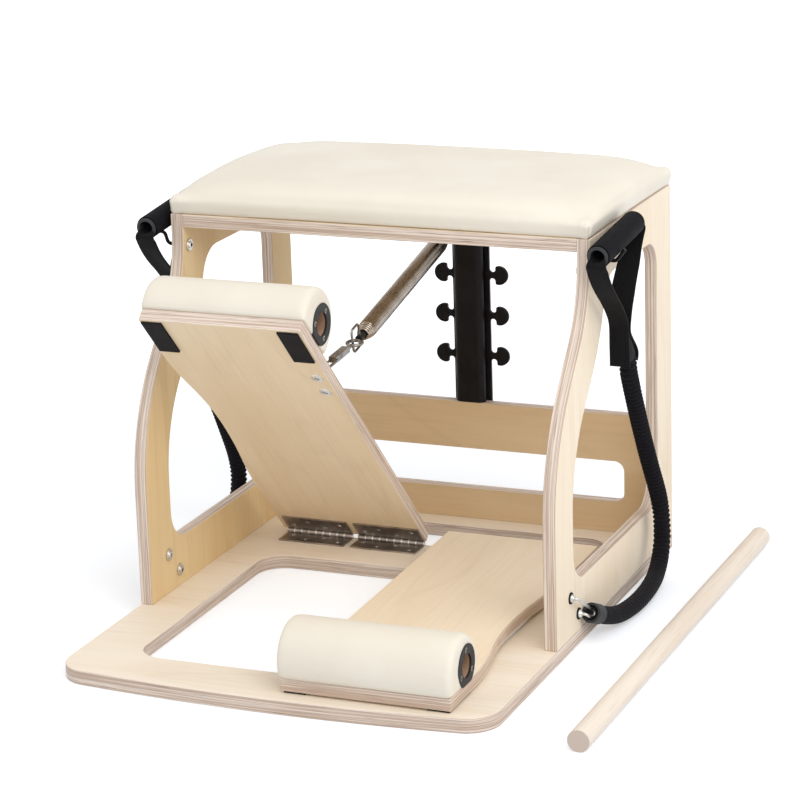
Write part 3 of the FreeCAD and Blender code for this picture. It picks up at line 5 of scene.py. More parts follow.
import bmesh
import bpy
from mathutils import Matrix, Vector
from mathutils.bvhtree import BVHTree
from mathutils.kdtree import KDTree
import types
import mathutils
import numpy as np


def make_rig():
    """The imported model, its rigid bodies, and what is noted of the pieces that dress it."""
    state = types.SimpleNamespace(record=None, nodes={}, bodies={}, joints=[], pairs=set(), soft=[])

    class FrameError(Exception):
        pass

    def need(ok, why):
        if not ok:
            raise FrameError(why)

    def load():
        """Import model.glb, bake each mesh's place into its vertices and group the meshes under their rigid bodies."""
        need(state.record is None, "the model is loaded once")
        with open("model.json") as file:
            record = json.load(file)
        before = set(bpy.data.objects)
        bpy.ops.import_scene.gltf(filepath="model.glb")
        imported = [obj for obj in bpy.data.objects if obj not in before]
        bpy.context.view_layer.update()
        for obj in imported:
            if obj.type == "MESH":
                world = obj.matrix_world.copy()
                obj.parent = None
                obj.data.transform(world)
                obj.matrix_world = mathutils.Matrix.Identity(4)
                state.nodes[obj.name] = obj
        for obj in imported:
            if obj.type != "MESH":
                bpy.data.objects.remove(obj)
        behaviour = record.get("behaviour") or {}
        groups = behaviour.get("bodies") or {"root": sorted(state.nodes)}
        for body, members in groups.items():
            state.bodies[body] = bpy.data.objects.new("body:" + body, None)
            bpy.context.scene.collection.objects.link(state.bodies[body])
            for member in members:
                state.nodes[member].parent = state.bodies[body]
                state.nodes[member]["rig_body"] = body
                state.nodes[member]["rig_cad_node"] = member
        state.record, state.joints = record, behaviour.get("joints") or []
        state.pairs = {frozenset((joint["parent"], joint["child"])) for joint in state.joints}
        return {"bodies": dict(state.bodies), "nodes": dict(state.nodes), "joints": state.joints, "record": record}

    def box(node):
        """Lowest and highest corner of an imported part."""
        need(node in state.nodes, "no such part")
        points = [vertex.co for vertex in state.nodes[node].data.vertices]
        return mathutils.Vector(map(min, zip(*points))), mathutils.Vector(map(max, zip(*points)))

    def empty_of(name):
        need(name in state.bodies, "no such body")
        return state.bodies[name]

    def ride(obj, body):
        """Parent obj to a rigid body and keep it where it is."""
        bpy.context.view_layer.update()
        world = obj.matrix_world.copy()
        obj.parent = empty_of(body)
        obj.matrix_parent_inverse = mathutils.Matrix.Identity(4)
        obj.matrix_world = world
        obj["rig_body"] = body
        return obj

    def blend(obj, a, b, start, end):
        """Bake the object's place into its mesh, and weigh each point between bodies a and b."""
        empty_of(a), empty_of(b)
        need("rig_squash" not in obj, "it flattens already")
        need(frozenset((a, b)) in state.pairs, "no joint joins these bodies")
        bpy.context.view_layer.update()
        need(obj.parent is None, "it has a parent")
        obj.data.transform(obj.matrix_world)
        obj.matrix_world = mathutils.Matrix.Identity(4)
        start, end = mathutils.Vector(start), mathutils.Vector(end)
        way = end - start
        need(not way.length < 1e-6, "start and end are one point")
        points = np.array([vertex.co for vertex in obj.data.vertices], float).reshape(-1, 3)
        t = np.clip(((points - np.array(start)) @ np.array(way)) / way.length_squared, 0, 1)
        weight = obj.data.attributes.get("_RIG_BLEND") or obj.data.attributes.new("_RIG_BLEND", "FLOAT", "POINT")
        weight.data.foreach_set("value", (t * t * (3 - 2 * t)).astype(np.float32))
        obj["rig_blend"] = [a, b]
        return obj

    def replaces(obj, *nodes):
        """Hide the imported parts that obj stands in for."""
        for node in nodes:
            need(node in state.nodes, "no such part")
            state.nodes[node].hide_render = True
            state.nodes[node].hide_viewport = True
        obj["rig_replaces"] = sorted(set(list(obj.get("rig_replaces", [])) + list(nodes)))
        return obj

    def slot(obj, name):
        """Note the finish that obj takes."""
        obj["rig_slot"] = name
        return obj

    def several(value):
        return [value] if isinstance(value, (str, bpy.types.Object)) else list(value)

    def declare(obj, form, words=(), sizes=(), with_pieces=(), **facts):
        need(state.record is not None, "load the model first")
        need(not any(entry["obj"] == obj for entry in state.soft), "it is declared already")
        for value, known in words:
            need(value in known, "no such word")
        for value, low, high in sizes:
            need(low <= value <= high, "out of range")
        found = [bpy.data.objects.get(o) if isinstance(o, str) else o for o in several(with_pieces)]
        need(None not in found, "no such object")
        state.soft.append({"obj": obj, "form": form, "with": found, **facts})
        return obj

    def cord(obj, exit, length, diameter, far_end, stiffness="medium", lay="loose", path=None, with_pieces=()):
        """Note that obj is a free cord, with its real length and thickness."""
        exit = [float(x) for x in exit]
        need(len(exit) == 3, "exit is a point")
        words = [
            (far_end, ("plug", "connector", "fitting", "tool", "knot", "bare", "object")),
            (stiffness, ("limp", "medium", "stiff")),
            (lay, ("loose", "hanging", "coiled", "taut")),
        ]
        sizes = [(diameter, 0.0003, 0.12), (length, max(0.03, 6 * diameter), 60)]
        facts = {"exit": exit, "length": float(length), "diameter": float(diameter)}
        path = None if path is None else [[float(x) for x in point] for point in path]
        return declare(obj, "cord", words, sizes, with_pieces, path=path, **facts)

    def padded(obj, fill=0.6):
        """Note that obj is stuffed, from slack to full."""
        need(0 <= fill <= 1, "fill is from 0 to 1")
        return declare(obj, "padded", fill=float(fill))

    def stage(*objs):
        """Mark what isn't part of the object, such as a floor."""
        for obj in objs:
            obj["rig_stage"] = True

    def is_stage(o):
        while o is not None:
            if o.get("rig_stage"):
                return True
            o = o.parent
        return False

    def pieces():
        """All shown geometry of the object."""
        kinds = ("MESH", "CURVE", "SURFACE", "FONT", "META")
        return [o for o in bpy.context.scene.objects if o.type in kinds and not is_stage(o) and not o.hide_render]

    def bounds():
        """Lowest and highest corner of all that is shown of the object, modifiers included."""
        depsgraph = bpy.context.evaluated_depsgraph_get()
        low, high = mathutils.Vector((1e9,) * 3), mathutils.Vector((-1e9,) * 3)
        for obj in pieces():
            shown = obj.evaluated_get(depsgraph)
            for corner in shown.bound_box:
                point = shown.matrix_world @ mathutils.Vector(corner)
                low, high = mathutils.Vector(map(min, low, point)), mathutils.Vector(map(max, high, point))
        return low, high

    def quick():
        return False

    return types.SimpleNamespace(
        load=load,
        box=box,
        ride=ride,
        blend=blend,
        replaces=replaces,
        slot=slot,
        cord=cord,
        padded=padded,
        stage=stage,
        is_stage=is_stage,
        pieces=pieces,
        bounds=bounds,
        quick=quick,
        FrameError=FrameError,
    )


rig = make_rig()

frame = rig.load()
nodes = frame["nodes"]
cad_low, cad_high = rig.bounds()
scene = bpy.context.scene

MM = 0.001
SIDES = {"left": -1, "right": 1}
X_AXIS = Vector((1, 0, 0))
Y_AXIS = Vector((0, 1, 0))
Z_AXIS = Vector((0, 0, 1))


def tint(red, green, blue):
    """Linear colour of a surface that shows these display values, 0 to 255."""
    shares = [level / 255 for level in (red, green, blue)]
    linear = [s / 12.92 if s <= 0.04045 else ((s + 0.055) / 1.055) ** 2.4 for s in shares]
    return (*linear, 1.0)


def feed(tree, socket, value):
    """Links another node's output to a socket, or sets the socket's value."""
    if isinstance(value, bpy.types.NodeSocket):
        tree.links.new(value, socket)
    else:
        socket.default_value = value


def add_node(tree, kind, inputs=None, output=0, **settings):
    """Adds a shader node with these inputs and gives one of its outputs."""
    made = tree.nodes.new("ShaderNode" + kind)
    for name, value in settings.items():
        setattr(made, name, value)
    for socket, value in (inputs or {}).items():
        feed(tree, made.inputs[socket], value)
    return made.outputs[output]


class Finish:
    """A material whose nodes are added with short calls."""

    def __init__(self, name, sockets=None):
        self.material = bpy.data.materials.new(name)
        self.material.use_nodes = True
        self.tree = self.material.node_tree
        self.shader = self.tree.nodes["Principled BSDF"]
        for socket, value in (sockets or {}).items():
            feed(self.tree, self.shader.inputs[socket], value)
        where = self.tree.nodes.new("ShaderNodeTexCoord")
        self.place = where.outputs["Object"]
        self.facing = where.outputs["Normal"]

    def add(self, kind, inputs=None, output=0, **settings):
        return add_node(self.tree, kind, inputs, output, **settings)

    def maths(self, operation, first, second=0.0, third=0.0):
        return self.add("Math", {0: first, 1: second, 2: third}, operation=operation)

    def part(self, vector, letter):
        return self.add("SeparateXYZ", {0: vector}, output="XYZ".index(letter))

    def stretched(self, vector, across):
        return self.add("Mapping", {"Vector": vector, "Scale": across})

    def noise(self, vector, scale, detail=3.0, roughness=0.55, distortion=0.0):
        return self.add("TexNoise", {"Vector": vector, "Scale": scale, "Detail": detail,
                                     "Roughness": roughness, "Distortion": distortion})

    def cells(self, vector, scale):
        return self.add("TexVoronoi", {"Vector": vector, "Scale": scale})

    def span(self, value, low, high, first=0.0, last=1.0):
        """Takes a value from one range to another, smoothly and within its ends."""
        return self.add("MapRange", {"Value": value, "From Min": low, "From Max": high,
                                     "To Min": first, "To Max": last}, interpolation_type="SMOOTHSTEP")

    def mixed(self, share, first, second, way="MIX"):
        return self.add("Mix", {0: share, 6: first, 7: second}, output=2, data_type="RGBA", blend_type=way)

    def coloured(self, colour):
        feed(self.tree, self.shader.inputs["Base Color"], colour)

    def rough(self, value):
        feed(self.tree, self.shader.inputs["Roughness"], value)

    def raised(self, height, depth, strength=1.0):
        """Bump of a given depth in metres, on top of any bump already there."""
        below = self.shader.inputs["Normal"]
        inputs = {"Height": height, "Distance": depth, "Strength": strength}
        if below.is_linked:
            inputs["Normal"] = below.links[0].from_socket
        feed(self.tree, below, self.add("Bump", inputs))


def deeper(colour, share):
    """A wood colour with this share of its light, and rather less of its blue."""
    return (colour[0] * share, colour[1] * share ** 1.3, colour[2] * share ** 1.6, 1.0)


def birch_finish(name, origin, grain, through, thickness, pale, deep):
    """Birch plywood: veneer figure on a board's faces, plies on its edges."""
    made = Finish(name, {"Specular IOR Level": 0.25})
    turn = Matrix((grain, through.cross(grain), through)).transposed().to_euler()
    local = made.add("Mapping", {"Vector": made.place, "Location": origin, "Rotation": turn},
                     vector_type="TEXTURE")
    facing = made.add("Mapping", {"Vector": made.facing, "Rotation": turn}, vector_type="TEXTURE")
    on_face = made.span(made.maths("ABSOLUTE", made.part(facing, "Z")), 0.6, 0.85)

    figure = made.noise(made.stretched(local, (1.5, 11, 11)), 1.0, 3.0, 0.55, 0.8)
    flame = made.noise(made.stretched(local, (0.8, 4.5, 4.5)), 1.0, 2.0, 0.5, 0.4)
    contour = made.maths("PINGPONG", made.maths("MULTIPLY", flame, 15.0), 1.0)
    contour = made.span(contour, 0.13, 0.0, 0.0, 0.1)
    streak = made.noise(made.stretched(local, (6, 170, 170)), 1.0, 4.0, 0.6)
    pore = made.noise(made.stretched(local, (60, 1500, 1500)), 1.0, 2.0, 0.6)
    face = made.mixed(made.span(figure, 0.3, 0.72), pale, deep)
    face = made.mixed(made.span(streak, 0.48, 0.75, 0.0, 0.2), face, deeper(deep, 0.8))
    face = made.mixed(contour, face, deeper(deep, 0.7))
    face = made.mixed(made.span(pore, 0.58, 0.8, 0.0, 0.16), face, deeper(deep, 0.62))

    lay = made.noise(made.stretched(local, (2.5, 2.5, 12 / thickness)), 1.0, 1.0, 0.5)
    thread = made.noise(made.stretched(local, (9, 9, 27 / thickness)), 1.0, 2.0, 0.6)
    flaw = made.noise(made.stretched(local, (16, 16, 15 / thickness)), 1.0, 1.0, 0.5)
    edge = made.mixed(made.span(lay, 0.4, 0.6), tint(231, 217, 204), tint(194, 171, 153))
    edge = made.mixed(made.span(thread, 0.52, 0.66, 0.0, 0.75), edge, tint(160, 136, 118))
    edge = made.mixed(made.span(flaw, 0.66, 0.74, 0.0, 0.6), edge, tint(116, 92, 74))
    made.coloured(made.mixed(on_face, edge, face))

    made.rough(made.span(streak, 0.3, 0.7, 0.42, 0.56))
    made.raised(pore, 0.0002, 0.3)
    made.raised(made.maths("MULTIPLY", thread, made.maths("SUBTRACT", 1.0, on_face)), 0.0004, 0.5)
    return made.material


def vinyl_finish(name, pale, deep):
    """Upholstery vinyl with a fine pressed grain."""
    made = Finish(name, {"Specular IOR Level": 0.3})
    cloud = made.noise(made.place, 7.0, 3.0)
    made.coloured(made.mixed(made.span(cloud, 0.3, 0.7), pale, deep))
    grain = made.cells(made.place, 850.0)
    crease = made.noise(made.place, 130.0, 3.0)
    made.rough(made.span(cloud, 0.3, 0.7, 0.4, 0.5))
    made.raised(crease, 0.0006, 0.12)
    made.raised(grain, 0.0003, 0.3)
    return made.material


def moulded_finish(name, dark, pale, roughness, grain_scale, grain_depth):
    """Moulded plastic, rubber or powder coat: fine even texture and faint wear."""
    made = Finish(name, {"Specular IOR Level": 0.16})
    cloud = made.noise(made.place, 45.0, 4.0)
    made.coloured(made.mixed(made.span(cloud, 0.35, 0.75), dark, pale))
    made.rough(made.span(cloud, 0.3, 0.7, roughness - 0.06, roughness + 0.08))
    made.raised(made.noise(made.place, grain_scale, 2.0), grain_depth, 0.5)
    return made.material


def metal_finish(name, dark, pale, roughness, streaks):
    """Bare or plated metal with fine drawn streaks and dull patches."""
    made = Finish(name, {"Metallic": 1.0})
    cloud = made.noise(made.place, 40.0, 3.0)
    drawn = made.noise(made.stretched(made.place, streaks), 1.0, 3.0)
    made.coloured(made.mixed(made.span(cloud, 0.3, 0.75), pale, dark))
    made.rough(made.span(drawn, 0.3, 0.7, roughness - 0.05, roughness + 0.08))
    made.raised(drawn, 0.00005, 0.15)
    return made.material


def foam_finish():
    """Closed-cell foam with small open cells in its skin."""
    made = Finish("black_foam_finish", {"Specular IOR Level": 0.1})
    cloud = made.noise(made.place, 60.0, 4.0)
    cell = made.cells(made.place, 1100.0)
    colour = made.mixed(made.span(cloud, 0.3, 0.7), tint(13, 12, 16), tint(19, 18, 22))
    made.coloured(made.mixed(made.span(cell, 0.5, 0.2, 0.0, 0.5), colour, tint(15, 14, 17)))
    made.rough(made.span(cloud, 0.3, 0.7, 0.72, 0.85))
    made.raised(cell, 0.0004, 0.5)
    return made.material


def webbing_finish():
    """Woven nylon strap: ribs along its length, crossed by the weft."""
    made = Finish("black_webbing_finish", {"Specular IOR Level": 0.08, "Sheen Weight": 0.04})
    rib = made.maths("SINE", made.maths("MULTIPLY", made.part(made.place, "X"), 2 * math.pi / 0.0021))
    weft = made.maths("SINE", made.maths("MULTIPLY", made.part(made.place, "Z"), 2 * math.pi / 0.0016))
    weave = made.maths("MULTIPLY_ADD", made.maths("MULTIPLY", rib, weft), 0.35, rib)
    fuzz = made.noise(made.place, 500.0, 3.0)
    colour = made.mixed(made.span(weave, -1.0, 1.0), tint(10, 10, 11), tint(24, 23, 25))
    made.coloured(made.mixed(made.span(fuzz, 0.5, 0.8, 0.0, 0.5), colour, tint(33, 32, 34)))
    made.rough(made.span(fuzz, 0.3, 0.7, 0.66, 0.8))
    made.raised(weave, 0.0004, 0.5)
    return made.material


def cord_finish():
    """Knitted cover: threads that follow the cord's own length and turn."""
    made = Finish("black_cord_finish", {"Specular IOR Level": 0.08, "Sheen Weight": 0.04})
    along = made.add("Attribute", output=2, attribute_name="cord_along")
    around = made.add("Attribute", output=2, attribute_name="cord_around")
    row = made.maths("SINE", made.maths("MULTIPLY", along, 2 * math.pi / 0.0018))
    wale = made.maths("SINE", made.maths("MULTIPLY", around, 2 * math.pi * 36))
    knit = made.maths("MULTIPLY_ADD", row, 0.6, wale)
    fuzz = made.noise(made.place, 420.0, 3.0)
    colour = made.mixed(made.span(knit, -1.4, 1.4), tint(9, 8, 11), tint(25, 23, 28))
    made.coloured(made.mixed(made.span(fuzz, 0.5, 0.8, 0.0, 0.4), colour, tint(37, 35, 41)))
    made.rough(made.span(fuzz, 0.3, 0.7, 0.7, 0.85))
    made.raised(knit, 0.0003, 0.5)
    return made.material


def dowel_finish(name, pale, deep, line, end):
    """Turned wood: straight grain along the rod, and end grain."""
    made = Finish(name, {"Specular IOR Level": 0.25})
    grain = made.noise(made.stretched(made.place, (260, 9, 260)), 1.0, 4.0, 0.6)
    broad = made.noise(made.stretched(made.place, (45, 2, 45)), 1.0, 3.0, 0.5, 0.6)
    colour = made.mixed(made.span(broad, 0.3, 0.7), pale, deep)
    colour = made.mixed(made.span(grain, 0.5, 0.78, 0.0, 0.55), colour, line)
    at_end = made.span(made.maths("ABSOLUTE", made.part(made.facing, "Y")), 0.7, 0.95)
    made.coloured(made.mixed(at_end, colour, end))
    made.rough(made.span(grain, 0.3, 0.7, 0.42, 0.55))
    made.raised(grain, 0.0002, 0.3)
    return made.material


cream_vinyl = vinyl_finish("cream_vinyl_finish", tint(231, 225, 211), tint(227, 219, 204))
# Darker vinyl for the corner seams: a real raised seam whose darker tint is painted shade of the sewn crease.
seam_painted_shade_vinyl = vinyl_finish("seam_vinyl_finish", tint(208, 198, 180), tint(196, 185, 166))
black_plastic = moulded_finish("black_plastic_finish", tint(40, 39, 41), tint(50, 49, 51),
                               roughness=0.48, grain_scale=900.0, grain_depth=0.0003)
black_metal = moulded_finish("black_metal_finish", tint(17, 14, 15), tint(25, 22, 22),
                             roughness=0.42, grain_scale=1300.0, grain_depth=0.0003)
black_rubber = moulded_finish("black_rubber_finish", tint(22, 20, 21), tint(31, 29, 30),
                              roughness=0.75, grain_scale=500.0, grain_depth=0.0004)
hinge_steel = metal_finish("hinge_steel_finish", tint(140, 130, 122), tint(176, 167, 159),
                           roughness=0.38, streaks=(300, 40, 300))
worn_steel = metal_finish("worn_steel_finish", tint(112, 107, 101), tint(158, 153, 146),
                          roughness=0.3, streaks=(160, 160, 160))
zinc_steel = metal_finish("zinc_steel_finish", tint(188, 186, 182), tint(222, 220, 216),
                          roughness=0.3, streaks=(120, 120, 120))
nickel_wire = metal_finish("nickel_wire_finish", tint(160, 149, 138), tint(178, 167, 155),
                           roughness=0.16, streaks=(40, 40, 40))
grip_plastic = moulded_finish("grip_plastic_finish", tint(52, 53, 55), tint(66, 67, 69),
                              roughness=0.45, grain_scale=900.0, grain_depth=0.0002)
black_foam = foam_finish()
black_webbing = webbing_finish()
black_cord_cover = cord_finish()
turned_wood = dowel_finish("turned_wood_finish", pale=tint(232, 221, 208), deep=tint(223, 207, 189),
                           line=tint(206, 183, 158), end=tint(199, 182, 169))
core_wood = dowel_finish("core_wood_finish", pale=tint(186, 152, 126), deep=tint(164, 130, 104),
                         line=tint(136, 102, 80), end=tint(168, 134, 108))
SLOT_FINISHES = {
    "cream_vinyl": cream_vinyl, "nickel_wire": nickel_wire, "black_foam": black_foam,
    "black_webbing": black_webbing, "black_cord_cover": black_cord_cover,
}


def eased(share):
    """A share held between none and one, with soft ends."""
    share = min(1.0, max(0.0, share))
    return share * share * (3 - 2 * share)


def set_finish(obj, material):
    """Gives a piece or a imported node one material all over."""
    obj.data.materials.clear()
    obj.data.materials.append(material)


def as_piece(bm, name, body, slot, material=None, crease=35.0):
    """Makes an object of a bmesh, with its own finish or its slot's, on the body that carries it."""
    mesh = bpy.data.meshes.new(name)
    bm.to_mesh(mesh)
    bm.free()
    mesh.shade_smooth()
    mesh.set_sharp_from_angle(angle=math.radians(crease))
    obj = bpy.data.objects.new(name, mesh)
    scene.collection.objects.link(obj)
    set_finish(obj, material or SLOT_FINISHES[slot])
    if body:
        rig.ride(obj, body)
    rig.slot(obj, slot)
    return obj


WELD = 2e-6
FLAT_WITHIN = math.radians(1.0)


def merged_copy(node):
    """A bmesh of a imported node's solid, with its triangles joined into whole faces."""
    bm = bmesh.new()
    bm.from_mesh(nodes[node].data)
    bmesh.ops.remove_doubles(bm, verts=bm.verts, dist=WELD)
    bmesh.ops.dissolve_limit(bm, angle_limit=FLAT_WITHIN, verts=bm.verts, edges=bm.edges)
    return bm


def body_of(node):
    return nodes[node]["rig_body"]


def new_verts(made):
    """The points among the geometry that an operator gives back."""
    return [g for g in made["geom"] if isinstance(g, bmesh.types.BMVert)]


def open_edges(made):
    """The edges with one face among the geometry that an operator gives back."""
    return [g for g in made["geom"] if isinstance(g, bmesh.types.BMEdge) and g.is_boundary]


def edges_round(verts):
    """Every edge that meets one of these points."""
    return {e for v in verts for e in v.link_edges}


# Camera at the photograph's angle
CAMERA_PLACE = Vector((1.5643, -3.8061, 1.4468))
CAMERA_TURN, CAMERA_LIFT, CAMERA_ROLL = (math.radians(a) for a in (22.771, 16.140, -1.789))
camera_data = bpy.data.cameras.new("studio_camera")
camera_data.lens = 136.39
camera_data.sensor_width = 36.0
camera_data.clip_start = 0.1
camera_data.clip_end = 100.0
camera = bpy.data.objects.new("studio_camera", camera_data)
scene.collection.objects.link(camera)
level = math.cos(CAMERA_LIFT)
back = Vector((math.sin(CAMERA_TURN) * level, -math.cos(CAMERA_TURN) * level, math.sin(CAMERA_LIFT)))
flat_right = (-back).cross(Z_AXIS).normalized()
flat_up = flat_right.cross(-back)
right = math.cos(CAMERA_ROLL) * flat_right + math.sin(CAMERA_ROLL) * flat_up
up = math.cos(CAMERA_ROLL) * flat_up - math.sin(CAMERA_ROLL) * flat_right
camera.matrix_world = Matrix.Translation(CAMERA_PLACE) @ Matrix((right, up, back)).transposed().to_4x4()
scene.camera = camera
scene.view_settings.view_transform = "Standard"


def seen_rays(tree):
    """One for camera, glossy and transmission rays, and none for the light they stand in."""
    rays = tree.nodes.new("ShaderNodeLightPath").outputs
    total = rays["Is Camera Ray"]
    for name in ("Is Glossy Ray", "Is Transmission Ray"):
        total = add_node(tree, "Math", {0: total, 1: rays[name]}, operation="MAXIMUM")
    return total


# White studio: floor, sky and lamps
FLOOR_HALF = 8.0
FLOOR_SINK = 0.2 * MM
FLOOR_PAPER = (0.76, 0.79, 0.84, 1)
FLOOR_GLOW = 0.36
FAR_GLOW = 0.8
GLOW_GROWS_FROM = 0.8
GLOW_GROWS_TO = 2.4
SKY_TINT = (1.0, 0.99, 0.98, 1)
SKY_LIGHT = 0.62
floor_bm = bmesh.new()
bmesh.ops.create_grid(floor_bm, x_segments=4, y_segments=4, size=FLOOR_HALF)
bmesh.ops.translate(floor_bm, verts=floor_bm.verts, vec=(0, 0, -FLOOR_SINK))
floor_mesh = bpy.data.meshes.new("studio_floor")
floor_bm.to_mesh(floor_mesh)
floor_bm.free()
floor = bpy.data.objects.new("studio_floor", floor_mesh)
scene.collection.objects.link(floor)
floor_finish = bpy.data.materials.new("studio_floor_finish")
floor_finish.use_nodes = True
floor_tree = floor_finish.node_tree
floor_tree.nodes.remove(floor_tree.nodes["Principled BSDF"])
floor_place = add_node(floor_tree, "TexCoord", output="Object")
floor_reach = add_node(floor_tree, "VectorMath", {0: floor_place}, output="Value", operation="LENGTH")
glow_spread = add_node(floor_tree, "MapRange", {
    "Value": floor_reach, "From Min": GLOW_GROWS_FROM, "From Max": GLOW_GROWS_TO,
    "To Min": FLOOR_GLOW, "To Max": FAR_GLOW}, output="Result")
glow_level = add_node(floor_tree, "Math", {0: seen_rays(floor_tree), 1: glow_spread}, operation="MULTIPLY")
paper = add_node(floor_tree, "BsdfDiffuse", {"Color": FLOOR_PAPER})
glow = add_node(floor_tree, "Emission", {"Strength": glow_level})
paper_and_glow = add_node(floor_tree, "AddShader", {0: paper, 1: glow})
feed(floor_tree, floor_tree.nodes["Material Output"].inputs["Surface"], paper_and_glow)
set_finish(floor, floor_finish)
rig.stage(floor)

world = bpy.data.worlds.new("studio_sky")
scene.world = world
world.use_nodes = True
sky_tree = world.node_tree
lit = sky_tree.nodes["Background"]
lit.inputs["Color"].default_value = SKY_TINT
lit.inputs["Strength"].default_value = SKY_LIGHT
shown = add_node(sky_tree, "Background", {"Color": (1, 1, 1, 1), "Strength": 1.0})
choice = add_node(sky_tree, "MixShader", {0: seen_rays(sky_tree), 1: lit.outputs[0], 2: shown})
feed(sky_tree, sky_tree.nodes["World Output"].inputs["Surface"], choice)

LAMPS = {
    "key_lamp": ((1.9, -1.9, 2.6), 2.2, 46.0),
    "side_lamp": ((2.9, -0.3, 1.2), 1.8, 17.0),
    "fill_lamp": ((-2.4, -1.6, 2.2), 2.0, 13.0),
    "front_lamp": ((-0.2, -3.5, 0.8), 2.0, 9.0),
    "top_lamp": ((0.1, 0.2, 3.2), 2.6, 15.0),
}
LAMP_AIM = Vector((0, -0.15, 0.3))
for lamp_name, (lamp_place, lamp_width, lamp_power) in LAMPS.items():
    lamp_data = bpy.data.lights.new(lamp_name, "AREA")
    lamp_data.size = lamp_width
    lamp_data.energy = lamp_power
    lamp = bpy.data.objects.new(lamp_name, lamp_data)
    lamp.location = lamp_place
    lamp.rotation_euler = (LAMP_AIM - Vector(lamp_place)).to_track_quat("-Z", "Y").to_euler()
    scene.collection.objects.link(lamp)


# Elastic cords in gathered covers, from the cup at the base to the strap's sleeve
CORD_RADIUS = 12.5 * MM
CORD_ROUTE = [
    (322.5, -187, 35), (330, -146, 17), (338, -96, 13.2), (340, -48, 13.4), (338.5, -6, 15),
    (335, 32, 19), (332, 63, 38), (330, 78, 72), (328, 71, 118), (326.5, 42, 166),
    (325.5, 11, 217), (326, -20, 268), (327, -48, 315), (327, -63, 345), (327, -63, 362),
]
CORD_STEPS = 60
RIB_PITCH = 7.2 * MM
RIB_DEPTH = 2.4 * MM
# The cover lies almost smooth near the base and is gathered from about the middle, as shares
LEAST_GATHER = 0.15
GATHER_FROM = 0.34
GATHER_OVER = 0.2
# How the ribs wander: weight, turns round the cord, radians per metre, phase
RIB_WANDER = 0.3
WANDERS = [(1.0, 2, 47, 0.0), (0.8, 3, -83, 1.3), (0.5, 5, 131, 0.0)]


def smooth_line(name, route, resolution):
    """A curve object along a smooth line with these control points, and the line's points."""
    curve = bpy.data.curves.new(name, "CURVE")
    curve.dimensions = "3D"
    curve.resolution_u = resolution
    line = curve.splines.new("NURBS")
    line.points.add(len(route) - 1)
    for point, place in zip(line.points, route):
        point.co = (*place, 1)
    line.order_u = 3
    line.use_endpoint_u = True
    guide = bpy.data.objects.new(name, curve)
    return guide, [v.co.copy() for v in bpy.data.meshes.new_from_object(guide).vertices]


def make_cord(side):
    """One cord: a smooth line with its gathered cover round it."""
    sign = SIDES[side]
    route = [Vector((sign * x, y, z)) * MM for x, y, z in CORD_ROUTE]
    guide, path = smooth_line(side + "_cord_guide", route, CORD_STEPS)
    guide.data.bevel_depth = CORD_RADIUS
    guide.data.bevel_resolution = 6
    guide.data.use_fill_caps = True
    mesh = bpy.data.meshes.new_from_object(guide)
    bpy.data.objects.remove(guide)

    stations = [0.0]
    for before, after in zip(path, path[1:]):
        stations.append(stations[-1] + (after - before).length)
    length = stations[-1]
    nearest = KDTree(len(path))
    for index, point in enumerate(path):
        nearest.insert(point, index)
    nearest.balance()
    bm = bmesh.new()
    bm.from_mesh(mesh)
    bmesh.ops.remove_doubles(bm, verts=bm.verts, dist=1e-6)
    along_layer = bm.verts.layers.float.new("cord_along")
    around_layer = bm.verts.layers.float.new("cord_around")
    for vert in bm.verts:
        centre, index, _ = nearest.find(vert.co)
        outward = vert.co - centre
        heading = (path[min(index + 1, len(path) - 1)] - path[max(index - 1, 0)]).normalized()
        level_side = heading.cross(X_AXIS).normalized()
        turn = math.atan2(outward.dot(X_AXIS), outward.dot(level_side))
        along = stations[index]
        vert[along_layer] = along
        vert[around_layer] = turn / (2 * math.pi)
        gather = LEAST_GATHER + (1 - LEAST_GATHER) * eased((along / length - GATHER_FROM) / GATHER_OVER)
        wander = sum(weight * math.sin(lobes * turn + along * drift + phase)
                     for weight, lobes, drift, phase in WANDERS)
        wave = abs(math.sin(math.pi * along / RIB_PITCH + RIB_WANDER * wander))
        vert.co = centre + outward * (1 - gather * RIB_DEPTH / CORD_RADIUS * (1 - wave * wave))
    bmesh.ops.recalc_face_normals(bm, faces=bm.faces)
    piece = as_piece(bm, side + "_bungee", None, "black_cord_cover", crease=60)
    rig.replaces(piece, side + "_cord")
    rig.cord(piece, exit=path[0], length=length, diameter=2 * CORD_RADIUS, far_end="object",
            stiffness="limp", lay="loose", path=path)
    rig.blend(piece, "frame", side + "_handle", start=path[0], end=path[-1])


for cord_side in SIDES:
    make_cord(cord_side)

# Boards, with their outline edges eased
BOARD_EASE = 1.3 * MM
FOOT_EASE = 0.6 * MM
SHORTEST_EASED = 2.6 * MM
SHARP_EDGE = math.radians(35)
BOARD_CREASE = 14
PLY = 18 * MM
FIGURE_SHIFT = 0.1
TREADLE_LOW = 5 * MM
HINGE = Vector((0, 41 * MM, 25 * MM))
PEDAL_LIFTS = {"left": math.radians(45.55), "right": math.radians(-0.678)}
pedal_frames = {}
for board_side, lift in PEDAL_LIFTS.items():
    pedal_frames[board_side] = Matrix.Translation(HINGE) @ Matrix.Rotation(-lift, 4, "X")


def eased_board(node, name, material, slot="birch_ply", ease=BOARD_EASE):
    """A board or block with every long sharp edge rounded over."""
    bm = merged_copy(node)
    sharp = [e for e in bm.edges if e.is_manifold and e.calc_length() > SHORTEST_EASED
             and e.calc_face_angle(0) > SHARP_EDGE]
    bmesh.ops.bevel(bm, geom=sharp, offset=ease, offset_type="OFFSET", segments=3, profile=0.5,
                    affect="EDGES", clamp_overlap=False, material=-1)
    piece = as_piece(bm, name, body_of(node), slot, material, BOARD_CREASE)
    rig.replaces(piece, node)
